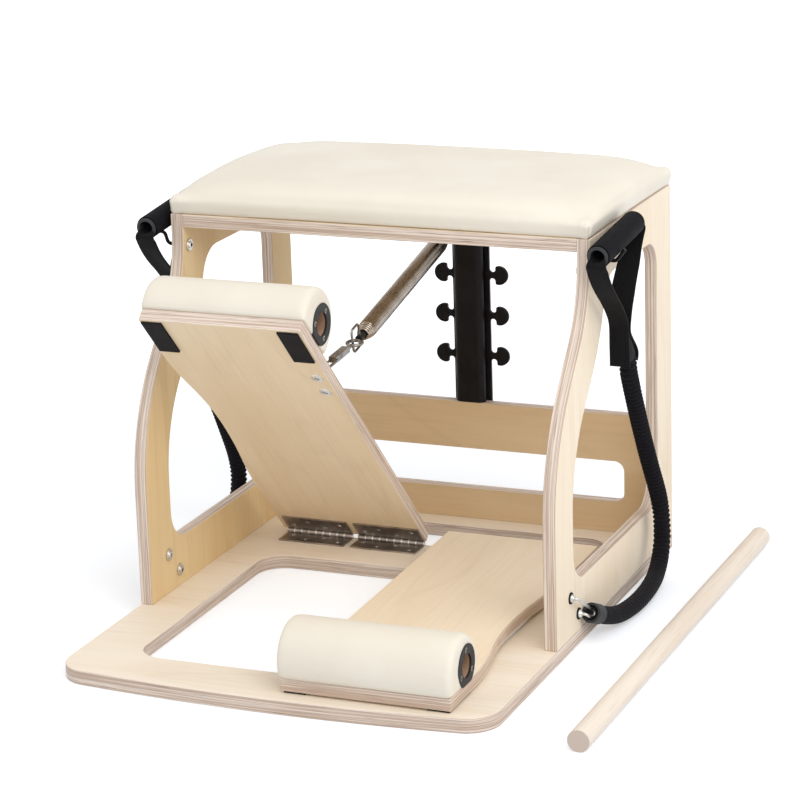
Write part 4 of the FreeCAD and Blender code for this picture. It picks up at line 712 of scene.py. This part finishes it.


# Each board's piece, the corner its figure starts from, grain way, way through it, thickness and two tints; the tints'
# level is painted light and shade, paler on boards that face the lamps and darker and warmer on boards in shade
BOARDS = {
    # Base deck: paler tints paint the light on its top.
    "base_board": ("base_deck", (0, 0, 0), X_AXIS, Z_AXIS, 20 * MM,
                   tint(242, 231, 214), tint(237, 222, 201)),
    # Left cheek: darker, warmer tints paint the shade on its inner face.
    "left_side_panel": ("left_cheek", (-305, 0, 20), Z_AXIS, X_AXIS, PLY,
                        tint(231, 206, 160), tint(222, 191, 141)),
    # Right cheek: paler tints paint the light on its outer face.
    "right_side_panel": ("right_cheek", (287, 0, 33), Z_AXIS, X_AXIS, PLY,
                         tint(241, 227, 205), tint(236, 218, 192)),
    "seat_board": ("seat_deck", (0, 7, 522), X_AXIS, Z_AXIS, PLY,
                   tint(232, 212, 182), tint(225, 202, 168)),
    # Rear rail: darker, warmer tints paint the shade it stands in under the seat.
    "rear_panel": ("rear_rail", (40, 185, 0), X_AXIS, Y_AXIS, PLY,
                   tint(225, 199, 160), tint(216, 187, 146)),
}
# Treadle tints: their level is painted light, raised to lighten the treadles where they lie in shade, and unlike
# between left and right for how each is lit.
TREADLE_PAINTED_LIGHT_TINTS = {
    "left": (tint(240, 219, 186), tint(233, 209, 173)),
    "right": (tint(243, 226, 200), tint(238, 218, 190)),
}
for board_node, (board_name, start, *figure) in BOARDS.items():
    board_finish = birch_finish(board_name + "_birch", Vector(start) * MM, *figure)
    eased_board(board_node, board_name, board_finish)
for board_side, place in pedal_frames.items():
    turned = place.to_3x3()
    corner = place @ Vector((0, FIGURE_SHIFT * SIDES[board_side], TREADLE_LOW))
    board_finish = birch_finish(board_side + "_treadle_birch", corner, turned @ Y_AXIS, turned @ Z_AXIS,
                                PLY, *TREADLE_PAINTED_LIGHT_TINTS[board_side])
    eased_board(board_side + "_pedal_board", board_side + "_treadle", board_finish)
    eased_board(board_side + "_bumpers", board_side + "_feet", black_rubber, "black_rubber", FOOT_EASE)


# Padded seat and rollers
AIR_PRESSURE = 4.0
AIR_FRAMES = 20


def swollen(bm, name, voxel, reach, held, passes):
    """Remeshes a closed shape and swells its skin with air; held points stay and all motion is capped."""
    mesh = bpy.data.meshes.new(name + "_form")
    bm.to_mesh(mesh)
    bm.free()
    obj = bpy.data.objects.new(name + "_form", mesh)
    scene.collection.objects.link(obj)
    remesh = obj.modifiers.new("skin", "REMESH")
    remesh.mode = "VOXEL"
    remesh.voxel_size = voxel
    bpy.context.view_layer.update()
    skin = bpy.data.meshes.new_from_object(obj.evaluated_get(bpy.context.evaluated_depsgraph_get()))
    obj.modifiers.clear()
    obj.data = skin
    still = [v.co.copy() for v in skin.vertices]
    moved = still
    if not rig.quick():
        group = obj.vertex_groups.new(name="held")
        group.add([i for i, co in enumerate(still) if held(co)], 1.0, "REPLACE")
        cloth = obj.modifiers.new("air", "CLOTH")
        cloth.settings.use_pressure = True
        cloth.settings.uniform_pressure_force = AIR_PRESSURE
        cloth.settings.effector_weights.gravity = 0.0
        cloth.settings.vertex_group_mass = "held"
        for step in range(1, AIR_FRAMES + 1):
            scene.frame_set(step)
        evaluated = obj.evaluated_get(bpy.context.evaluated_depsgraph_get())
        moved = [v.co.copy() for v in evaluated.data.vertices]
        obj.modifiers.clear()
        scene.frame_set(1)
    result = bmesh.new()
    result.from_mesh(skin)
    result.verts.ensure_lookup_table()
    for vert, before, after in zip(result.verts, still, moved):
        step = after - before
        if step.length > reach:
            step = step.normalized() * reach
        vert.co = before + step
    free = [v for v in result.verts if not held(v.co)]
    for _ in range(passes):
        bmesh.ops.smooth_vert(result, verts=free, factor=0.5,
                              use_axis_x=True, use_axis_y=True, use_axis_z=True)
    bpy.data.objects.remove(obj)
    return result


def upholstered(bm, name, body, node):
    """A finished pad: one subdivision over the swollen skin."""
    piece = as_piece(bm, name, body, "cream_vinyl", crease=80)
    piece.data.polygons.foreach_set("use_smooth", [True] * len(piece.data.polygons))
    smooth = piece.modifiers.new("smooth", "SUBSURF")
    smooth.levels = 1
    smooth.render_levels = 1
    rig.replaces(piece, node)
    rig.padded(piece, fill=0.9)


SEAT_LOW = 540 * MM
SEAT_SIDE = 305 * MM
SEAT_ENDS = (-151 * MM, 203 * MM)
SEAT_MIDDLE = sum(SEAT_ENDS) / 2
SEAT_HELD = 3 * MM
CORNER_REACH = 30 * MM
CORNER_HOLD = 1.4
BAND_TOP = 559 * MM
BAND_FADE = 8 * MM
SEAM_FOOT = 1 * MM
SEAM_TOP = 17 * MM
SEAM_STEPS = 9
SEAM_SIDES = 6
SEAM_RADIUS = 0.5 * MM
SEAM_AIM_FROM = 20 * MM
ROLLER_FOOT = 25 * MM
ROLLER_ENDS = (21 * MM, 248 * MM)


def to_corner(co):
    """How far a point stands from the nearest upright corner of the seat."""
    return min(math.hypot(SEAT_SIDE - abs(co.x), end - co.y) for end in SEAT_ENDS)


def sharpened(bm, form):
    """Divides the skin round the seat's corners finer and draws it out to the form's sharp corners."""
    near = [e for e in bm.edges if to_corner((e.verts[0].co + e.verts[1].co) / 2) < CORNER_REACH / 2]
    bmesh.ops.subdivide_edges(bm, edges=near, cuts=1, use_grid_fill=True)
    for vert in bm.verts:
        corner = CORNER_HOLD * (1 - to_corner(vert.co) / CORNER_REACH)
        band = (BAND_TOP + BAND_FADE - vert.co.z) / BAND_FADE
        share = max(eased(corner), eased(band))
        if share > 0:
            vert.co = vert.co.lerp(form.find_nearest(vert.co)[0], share)
    return bm


def corner_seams(form):
    """Sewn joins up the seat's four corners: a thin raised line on the skin."""
    bm = bmesh.new()
    for sign in SIDES.values():
        for end in SEAT_ENDS:
            way = Vector((sign, math.copysign(1, end - SEAT_MIDDLE), 0)).normalized()
            start = Vector((sign * SEAT_SIDE, end, SEAT_LOW)) + SEAM_AIM_FROM * way
            ring = bmesh.ops.create_circle(bm, segments=SEAM_SIDES, radius=SEAM_RADIUS)["verts"]
            edges = list(edges_round(ring))
            bmesh.ops.holes_fill(bm, edges=edges, sides=SEAM_SIDES)
            last = Vector()
            for step in range(SEAM_STEPS + 1):
                level = Vector((0, 0, SEAM_FOOT + (SEAM_TOP - SEAM_FOOT) * step / SEAM_STEPS))
                spot = form.ray_cast(start + level, -way)[0]
                if step:
                    grown = bmesh.ops.extrude_edge_only(bm, edges=edges)
                    ring = new_verts(grown)
                    edges = open_edges(grown)
                bmesh.ops.translate(bm, verts=ring, vec=spot - last)
                last = spot
            bmesh.ops.holes_fill(bm, edges=edges, sides=SEAM_SIDES)
    bmesh.ops.recalc_face_normals(bm, faces=bm.faces)
    return bm


seat_form = BVHTree.FromBMesh(merged_copy("seat_cushion"))
seat_bm = swollen(merged_copy("seat_cushion"), "seat_pad", voxel=5 * MM, reach=2.0 * MM,
                  held=lambda co: co.z < SEAT_LOW + SEAT_HELD, passes=9)
seat_bm = sharpened(seat_bm, seat_form)
seat_skin = BVHTree.FromBMesh(seat_bm)
upholstered(seat_bm, "seat_pad", "frame", "seat_cushion")
# The seams take the darker vinyl, painted shade along the sewn corners.
as_piece(corner_seams(seat_skin), "seat_pad_seams", "frame", "cream_vinyl", seam_painted_shade_vinyl, 60)
for pad_side, place in pedal_frames.items():
    to_local = place.inverted()

    def on_core(co, to_local=to_local):
        """True at the flat foot and round the capped ends of a roller."""
        spot = to_local @ co
        return spot.z < ROLLER_FOOT or not ROLLER_ENDS[0] < abs(spot.x) < ROLLER_ENDS[1]
    pad_bm = swollen(merged_copy(pad_side + "_roller_pad"), pad_side + "_roller", voxel=4 * MM,
                     reach=1.5 * MM, held=on_core, passes=3)
    upholstered(pad_bm, pad_side + "_roller", pad_side + "_pedal", pad_side + "_roller_pad")

# Pull spring: one close-wound wire of square section with soft corners, narrowed at both ends
SPRING_HOOK = Vector((-33.5, 205, 451)) * MM
SPRING_DROOP = math.radians(12.1)
SPRING_WAY = Vector((0, -math.cos(SPRING_DROOP), -math.sin(SPRING_DROOP)))
COIL_START = 25 * MM
COIL_PITCH = 3.4 * MM
COIL_TURNS = 92
COIL_RADIUS = 12 * MM
COIL_END_RADIUS = 7.2 * MM
COIL_TAPER_TURNS = 7
COIL_WIRE = 1.62 * MM
COIL_WIRE_DEPTH = 1.3 * MM
STEPS_PER_TURN = 20
COIL_LENGTH = COIL_PITCH * COIL_TURNS
coil_bm = bmesh.new()
wire_ring = bmesh.ops.create_circle(coil_bm, segments=8, radius=1.0)["verts"]
for wire_vert in wire_ring:
    flat_x, flat_y = (math.copysign(math.sqrt(abs(round(c, 6))), c) for c in wire_vert.co.xy)
    wire_vert.co = (flat_x * COIL_WIRE_DEPTH, flat_y * COIL_WIRE, 0)
bmesh.ops.rotate(coil_bm, verts=wire_ring, cent=(0, 0, 0), matrix=Matrix.Rotation(math.pi / 2, 3, "X"))
bmesh.ops.translate(coil_bm, verts=wire_ring, vec=(COIL_RADIUS, 0, COIL_START))
bmesh.ops.spin(coil_bm, geom=coil_bm.verts[:] + coil_bm.edges[:], cent=(0, 0, 0), axis=Z_AXIS,
               dvec=(0, 0, COIL_PITCH / STEPS_PER_TURN), angle=2 * math.pi * COIL_TURNS,
               steps=COIL_TURNS * STEPS_PER_TURN)
for coil_vert in coil_bm.verts:
    turns_done = (coil_vert.co.z - COIL_START) / COIL_PITCH
    from_end = min(turns_done, COIL_TURNS - turns_done) / COIL_TAPER_TURNS
    from_end = min(1.0, max(0.0, from_end))
    drawn_in = (COIL_RADIUS - COIL_END_RADIUS) * (1 - math.sin(from_end * math.pi / 2))
    away = Vector((coil_vert.co.x, coil_vert.co.y, 0))
    coil_vert.co -= away.normalized() * drawn_in
bmesh.ops.holes_fill(coil_bm, edges=[e for e in coil_bm.edges if e.is_boundary], sides=8)
bmesh.ops.recalc_face_normals(coil_bm, faces=coil_bm.faces)
spring_turn = Matrix((X_AXIS, SPRING_WAY.cross(X_AXIS), SPRING_WAY)).transposed()
bmesh.ops.rotate(coil_bm, verts=coil_bm.verts, cent=(0, 0, 0), matrix=spring_turn)
bmesh.ops.translate(coil_bm, verts=coil_bm.verts, vec=SPRING_HOOK)
coil = as_piece(coil_bm, "pull_spring_coil", None, "nickel_wire", crease=60)
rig.replaces(coil, "spring_coil")
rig.blend(coil, "spring_upper", "spring_lower", start=SPRING_HOOK + SPRING_WAY * 2 * COIL_START,
         end=SPRING_HOOK + SPRING_WAY * (COIL_START + COIL_LENGTH - 20 * MM))

# Hand grips: foam over a tube, with a webbing strap through it
GRIP_X = 327 * MM
GRIP_MIDDLE = Vector((0, -106, 532)) * MM
GRIP_TILT = math.radians(5.1)
GRIP_WAY = Vector((0, math.cos(GRIP_TILT), math.sin(GRIP_TILT)))
GRIP_DOWN = Vector((0, math.sin(GRIP_TILT), -math.cos(GRIP_TILT)))
FOAM_RADIUS = 16 * MM
FOAM_BORE = 12 * MM
FOAM_HALF = 75.2 * MM
FOAM_ROUND = 2.2 * MM
TUBE_ENDS = [(78.4, 10.2), (78.4, 13.4), (77.8, 14.2), (76.2, 14.2), (75.3, 12.0)]
TUBE_PROFILE = [(along * MM, radius * MM) for along, radius in TUBE_ENDS]
TUBE_PROFILE += [(-along, radius) for along, radius in reversed(TUBE_PROFILE)]


def turned_piece(profile, centre, way, segments=40):
    """Spins a closed profile of (along, radius) points round a line."""
    bm = bmesh.new()
    corners = [bm.verts.new((radius, 0, along)) for along, radius in profile]
    for first, second in zip(corners, corners[1:] + corners[:1]):
        bm.edges.new((first, second))
    bmesh.ops.spin(bm, geom=bm.verts[:] + bm.edges[:], cent=(0, 0, 0), axis=Z_AXIS, dvec=(0, 0, 0),
                   angle=2 * math.pi, steps=segments, use_merge=True)
    bmesh.ops.remove_doubles(bm, verts=bm.verts, dist=1e-6)
    bmesh.ops.recalc_face_normals(bm, faces=bm.faces)
    bmesh.ops.rotate(bm, verts=bm.verts, cent=(0, 0, 0), matrix=way.to_track_quat("Z", "Y").to_matrix())
    bmesh.ops.translate(bm, verts=bm.verts, vec=centre)
    return bm


def rounded_profile(half, outer, inner, ease, steps=5):
    """Half a sleeve's section: a straight wall with both outer ends rounded."""
    arc = [(half - ease + ease * math.sin(a), outer - ease + ease * math.cos(a))
           for a in (math.pi / 2 * i / steps for i in range(steps + 1))]
    return arc + [(half, inner), (-half, inner)] + [(-along, radius) for along, radius in reversed(arc)]


STRAP_THICK = 2.2 * MM
STRAP_CURL = 9.3 * MM
STRAP_UNROLLED = 9 * MM
STRAP_ASIDE = 2.4 * MM
STRAP_UP = [(-88.5, 353), (-89, 375), (-92, 396), (-99, 417), (-115, 437), (-135, 456), (-155, 472),
            (-173, 490), (-184, 505)]
STRAP_DOWN = [(-27, 522), (-37, 508), (-49, 495), (-62, 480), (-75, 464), (-87, 443), (-94, 420),
              (-91, 404), (-72, 388), (-54, 371), (-50, 361), (-55, 354)]
STRAP_ALONG_TUBE = [(-86, 9.0), (-76, 9.3), (-30, 9.3), (30, 9.3), (76, 9.3), (86, 9.0)]
STRAP_ACROSS = 12
TUBE_MOUTH = 77 * MM
# Half widths of the strap: share of its length, millimetres
STRAP_WIDTHS = [(0.0, 14.0), (0.1, 13.6), (0.2, 14.0), (0.3, 14.4), (0.36, 13.0), (0.62, 13.0),
                (0.68, 15.4), (0.76, 16.6), (0.84, 15.0), (0.88, 13.8), (1.0, 14.0)]
STRAP_STEPS = 8
STRAP_RIPPLE = 0.9 * MM
RIPPLE_PER_STEP = 0.11
RIPPLE_ACROSS = 2.2
STRAP_FLOOR = 10 * MM
ASIDE_BELOW = 425 * MM
ASIDE_OVER = 45 * MM


def strap_half(share):
    """The strap's half width at a share of its length."""
    for (before, first), (after, second) in zip(STRAP_WIDTHS, STRAP_WIDTHS[1:]):
        if share <= after:
            return (first + (second - first) * (share - before) / (after - before)) * MM
    return STRAP_WIDTHS[-1][1] * MM


def make_strap(side):
    """Webbing from its front tab up into the grip, curled along the tube's floor, and down to its flap."""
    sign = SIDES[side]
    route = [Vector((0, y, z)) * MM for y, z in STRAP_UP]
    route += [GRIP_MIDDLE + (GRIP_WAY * along + GRIP_DOWN * below) * MM
              for along, below in STRAP_ALONG_TUBE]
    route += [Vector((0, y, z)) * MM for y, z in STRAP_DOWN]
    guide, path = smooth_line(side + "_strap_guide", route, STRAP_STEPS)
    bpy.data.objects.remove(guide)
    last = len(path) - 1
    bm = bmesh.new()
    grid = bmesh.ops.create_grid(bm, x_segments=STRAP_ACROSS, y_segments=last, size=1.0)["verts"]
    for vert in grid:
        index = round((vert.co.y + 1) / 2 * last)
        centre = path[index]
        heading = (path[min(index + 1, last)] - path[max(index - 1, 0)]).normalized()
        above = X_AXIS.cross(heading)
        spot = centre - GRIP_MIDDLE
        past_mouth = max(0.0, abs(spot.dot(GRIP_WAY)) - TUBE_MOUTH)
        under_floor = max(0.0, spot.dot(GRIP_DOWN) - STRAP_FLOOR)
        curl = eased(1 - Vector((past_mouth, under_floor, 0)).length / STRAP_UNROLLED)
        across = vert.co.x * strap_half(index / last)
        ripple = math.sin(index * RIPPLE_PER_STEP) * math.cos(vert.co.x * RIPPLE_ACROSS)
        rise = STRAP_RIPPLE * ripple * (1 - curl)
        if curl > 0.01:
            turn = across * curl / STRAP_CURL
            rise += (1 - math.cos(turn)) * STRAP_CURL / curl
            across = math.sin(turn) * STRAP_CURL / curl
        aside = STRAP_ASIDE * eased((ASIDE_BELOW - centre.z) / ASIDE_OVER)
        vert.co = centre + X_AXIS * (sign * (GRIP_X - aside) + across) + above * rise
    bmesh.ops.recalc_face_normals(bm, faces=bm.faces)
    return bm


# Filling of the strap's sewn end, between tab and flap: height, front, rear, half width
SLEEVE_SECTIONS = [(356.5, -82, -55, 11.0), (358, -86.2, -52.8, 12.6), (366, -87.2, -53.6, 12.8),
                   (380, -88.4, -65, 12.8), (396, -91.0, -83, 12.6), (408, -95.2, -92, 12.0)]
SLEEVE_SIDES = 28
SLEEVE_SQUARENESS = 0.55


def make_sleeve(side):
    """Dark filling from the cord's end up to where the strap's two plies meet."""
    bm = bmesh.new()
    loops = []
    for height, front, rear, half in SLEEVE_SECTIONS:
        ring = bmesh.ops.create_circle(bm, segments=SLEEVE_SIDES, radius=1.0)["verts"]
        for vert in ring:
            square = [math.copysign(abs(c) ** SLEEVE_SQUARENESS, c) for c in vert.co.xy]
            deep = ((front + rear) + (rear - front) * square[1]) / 2
            vert.co = (square[0] * half * MM, deep * MM, height * MM)
        bmesh.ops.translate(bm, verts=ring, vec=X_AXIS * SIDES[side] * (GRIP_X - STRAP_ASIDE))
        loops.append(list(edges_round(ring)))
    for first, second in zip(loops, loops[1:]):
        bmesh.ops.bridge_loops(bm, edges=first + second)
    bmesh.ops.holes_fill(bm, edges=loops[0] + loops[-1], sides=SLEEVE_SIDES)
    bmesh.ops.recalc_face_normals(bm, faces=bm.faces)
    return bm


for grip_side, sign in SIDES.items():
    axis_middle = GRIP_MIDDLE + X_AXIS * sign * GRIP_X
    grip_body = grip_side + "_grip"
    handle_body = grip_side + "_handle"
    foam_profile = rounded_profile(FOAM_HALF, FOAM_RADIUS, FOAM_BORE, FOAM_ROUND)
    foam = as_piece(turned_piece(foam_profile, axis_middle, GRIP_WAY), grip_side + "_foam", grip_body,
                    "black_foam", crease=50)
    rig.replaces(foam, grip_side + "_grip_foam")
    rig.padded(foam, fill=1.0)
    tube = as_piece(turned_piece(TUBE_PROFILE, axis_middle, GRIP_WAY), grip_side + "_grip_bush", grip_body,
                    "black_plastic", grip_plastic)
    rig.replaces(tube, grip_side + "_grip_tube")
    strap = as_piece(make_strap(grip_side), grip_side + "_webbing", handle_body, "black_webbing", crease=80)
    ply = strap.modifiers.new("ply", "SOLIDIFY")
    ply.thickness = STRAP_THICK
    ply.offset = 0.0
    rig.replaces(strap, grip_side + "_strap")
    as_piece(make_sleeve(grip_side), grip_side + "_sleeve", handle_body, "black_webbing", crease=50)


# Fasteners, each with its driver recess
def solids_of(bm):
    """Faces of each separate solid in a merged mesh, in order."""
    for face in bm.faces:
        face.tag = False
    for first in bm.faces:
        if first.tag:
            continue
        group, waiting = [], [first]
        first.tag = True
        while waiting:
            face = waiting.pop()
            group.append(face)
            for edge in face.edges:
                for other in edge.link_faces:
                    if not other.tag:
                        other.tag = True
                        waiting.append(other)
        yield group


SCREW_LENGTH = 9 * MM
NUT_THICK = 2 * MM
NUT_SIDES = 24
BOSS_RISE = 0.22
FLUSH_RISE = 0.02
# A screw head's grid lines, and the rings down its shank, in radii
CROSS_LINES = (-1.0, -0.56, -0.17, 0.17, 0.56, 1.0)
SCREW_RIMS = [(-0.25, 1.0), (-0.75, 0.5)]


def put_in_place(bm, verts, centre, way, radius):
    """Takes points made at unit size round the origin to a fastener's place."""
    turn = way.to_track_quat("Z", "Y").to_matrix().to_4x4()
    bmesh.ops.transform(bm, matrix=Matrix.Translation(centre) @ turn @ Matrix.Scale(radius, 4), verts=verts)


def add_screw_head(bm, centre, way, radius, length):
    """Flush head with a cross recess, on a short tapered shank."""
    grid = bmesh.ops.create_grid(bm, x_segments=5, y_segments=5, size=1.0)["verts"]
    for vert in grid:
        u = CROSS_LINES[round((vert.co.x + 1) * 2.5)]
        v = CROSS_LINES[round((vert.co.y + 1) * 2.5)]
        bulge = -0.1 * min(1.0, u * u + v * v)
        vert.co = (u * math.sqrt(1 - v * v / 2), v * math.sqrt(1 - u * u / 2), bulge)
    faces = {f for v in grid for f in v.link_faces}
    middles = {f: f.calc_center_median() for f in faces}
    slots = [f for f, m in middles.items() if min(abs(m.x), abs(m.y)) < 0.1 and m.length < 0.6]
    floor_verts = new_verts(bmesh.ops.extrude_face_region(bm, geom=slots))
    bmesh.ops.scale(bm, verts=floor_verts, vec=(0.8, 0.8, 1.0))
    bmesh.ops.translate(bm, verts=floor_verts, vec=(0, 0, -0.4))
    bmesh.ops.delete(bm, geom=slots, context="FACES_ONLY")
    every = list(set(grid) | set(floor_verts))
    rim = [e for e in edges_round(grid) if e.is_boundary]
    for drop, narrow in SCREW_RIMS + [(-length / radius, 0.45)]:
        pulled = bmesh.ops.extrude_edge_only(bm, edges=rim)
        ring = new_verts(pulled)
        rim = open_edges(pulled)
        for vert in ring:
            across = Vector((vert.co.x, vert.co.y, 0)).normalized() * narrow
            vert.co = (across.x, across.y, drop)
        every += ring
    bmesh.ops.holes_fill(bm, edges=rim, sides=40)
    put_in_place(bm, every, centre, way, radius)


def add_socket_disc(bm, centre, way, radius, thick, raised):
    """Round nut head with a raised boss and a hexagon socket."""
    others = set(bm.verts)
    disc = bmesh.ops.create_circle(bm, cap_ends=True, segments=NUT_SIDES, radius=1.0)["verts"]
    face = disc[0].link_faces[0]
    for reach, height, corner in ((0.94, 0.06, 0), (0.62, 0.06, 0), (0.56, 0.06 + raised, 0),
                                  (0.42, 0.06 + raised, 0), (0.36, 0.05 + raised, 1), (0.34, -0.25, 1)):
        bmesh.ops.inset_region(bm, faces=[face], thickness=0.01, use_boundary=True)
        for vert in face.verts:
            angle = math.atan2(vert.co.y, vert.co.x)
            lobe = math.cos((angle + math.pi / 6) % (math.pi / 3) - math.pi / 6)
            far = reach / lobe * math.cos(math.pi / 6) * 1.08 if corner else reach
            vert.co = (far * math.cos(angle), far * math.sin(angle), height)
    wall = bmesh.ops.extrude_edge_only(bm, edges=[e for e in bm.edges if e.is_boundary])
    bmesh.ops.translate(bm, verts=new_verts(wall), vec=(0, 0, -thick / radius))
    bmesh.ops.holes_fill(bm, edges=open_edges(wall), sides=NUT_SIDES)
    put_in_place(bm, [v for v in bm.verts if v not in others], centre, way, radius)


def widest_flat(faces, towards):
    """Centre, facing and radius of the largest flat of a solid, among those that look the given way."""
    flats = {}
    for face in faces:
        if towards is None or face.normal.dot(towards) > 0.95:
            depth = face.normal.dot(face.verts[0].co)
            plane = (*(round(c, 1) for c in face.normal), round(depth / (0.3 * MM)))
            flats.setdefault(plane, []).append(face)
    flat = max(flats.values(), key=lambda some: sum(f.calc_area() for f in some))
    corners = {v for f in flat for v in f.verts}
    centre = sum((v.co for v in corners), Vector()) / len(corners)
    return centre, flat[0].normal.copy(), max((v.co - centre).length for v in corners)


def fasteners(node, name, material, add_head, facing, *shape):
    """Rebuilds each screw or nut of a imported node, on the widest flat face it shows."""
    source = merged_copy(node)
    bm = bmesh.new()
    for group in solids_of(source):
        towards = facing(group[0].verts[0].co) if facing else None
        add_head(bm, *widest_flat(group, towards), *shape)
    source.free()
    bmesh.ops.recalc_face_normals(bm, faces=bm.faces)
    piece = as_piece(bm, name, body_of(node), "zinc_steel", material, 30)
    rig.replaces(piece, node)


def inwards(co):
    """The way from a side panel to the middle of the chair."""
    return X_AXIS * -math.copysign(1, co.x)


def screw_set(node):
    return node.replace("screws", "screw_set")


ZINC_SCREWS = ("plate_screws", "frame_screws", "hinge_base_screws", "left_hinge_screws",
               "right_hinge_screws")
for screw_node in ZINC_SCREWS:
    fasteners(screw_node, screw_set(screw_node), zinc_steel, add_screw_head, None, SCREW_LENGTH)
for screw_node in ("left_cap_screws", "right_cap_screws"):
    fasteners(screw_node, screw_set(screw_node), worn_steel, add_screw_head, None, SCREW_LENGTH)
for nut_node in ("hook_nuts", "loop_nuts"):
    fasteners(nut_node, nut_node.replace("nuts", "nut_set"), zinc_steel, add_socket_disc, inwards,
              NUT_THICK, BOSS_RISE)
for pedal_side, place in pedal_frames.items():
    underside = place.to_3x3() @ -Z_AXIS
    fasteners(pedal_side + "_saddle_nuts", pedal_side + "_saddle_nut_set", zinc_steel, add_socket_disc,
              lambda co, underside=underside: underside, NUT_THICK, FLUSH_RISE)

# Bright bushes between the hinge knuckles, and the pins' heads
KNUCKLES = 9
HINGE_GAP = 11 * MM
BUSH_RADIUS = 4.7 * MM
BUSH_WIDTH = 2.4 * MM
PIN_HEAD_RADIUS = 3.4 * MM


def add_bush(bm, centre, radius, width):
    """One short ring on a hinge's axis, with its rims eased."""
    ends = bmesh.ops.create_cone(bm, cap_ends=True, segments=20, radius1=radius, radius2=radius,
                                 depth=width)["verts"]
    bmesh.ops.rotate(bm, verts=ends, cent=(0, 0, 0), matrix=Matrix.Rotation(math.pi / 2, 3, "Y"))
    bmesh.ops.translate(bm, verts=ends, vec=centre)
    rims = [e for e in edges_round(ends) if any(len(f.verts) > 4 for f in e.link_faces)]
    bmesh.ops.bevel(bm, geom=rims, offset=0.4 * MM, segments=2, profile=0.5, affect="EDGES", material=-1)


for hinge_side in SIDES:
    leaf_low, leaf_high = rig.box(hinge_side + "_hinge_base_leaves")
    hinge_span = (leaf_high[0] - leaf_low[0] - HINGE_GAP) / 2
    bush_bm = bmesh.new()
    for hinge_start in (leaf_low[0], leaf_high[0] - hinge_span):
        for index in range(KNUCKLES + 1):
            bush_place = HINGE + X_AXIS * (hinge_start + index * hinge_span / KNUCKLES)
            ring_radius = BUSH_RADIUS if 0 < index < KNUCKLES else PIN_HEAD_RADIUS
            add_bush(bush_bm, bush_place, ring_radius, BUSH_WIDTH)
    as_piece(bush_bm, hinge_side + "_hinge_bushes", "frame", "zinc_steel", zinc_steel)

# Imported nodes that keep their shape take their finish
NODE_FINISHES = {
    "spring_post": black_metal, "hook_plate": black_metal, "loop_washers": black_rubber,
    "cord_ferrules": grip_plastic, "spring_hook": nickel_wire, "spring_plug": black_plastic,
    "link_ring": worn_steel, "snap_body": worn_steel, "snap_bolt": worn_steel, "snap_eye": worn_steel,
    "connecting_bar": turned_wood,
}
PAIRED_FINISHES = {
    "handle_hook": black_metal, "cord_loop": zinc_steel, "hinge_base_leaves": hinge_steel,
    "hinge_pedal_leaves": hinge_steel, "hinge_pins": zinc_steel, "spring_saddle": zinc_steel,
    "roller_core": core_wood, "roller_caps": black_plastic,
}
for paired_node, node_finish in PAIRED_FINISHES.items():
    for node_side in SIDES:
        NODE_FINISHES[node_side + "_" + paired_node] = node_finish
for finished_node, node_finish in NODE_FINISHES.items():
    set_finish(nodes[finished_node], node_finish)

seen_low, seen_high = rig.bounds()
with open("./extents.json", "w") as size_file:
    json.dump({"cad": [list(cad_low), list(cad_high)], "visual": [list(seen_low), list(seen_high)]}, size_file)
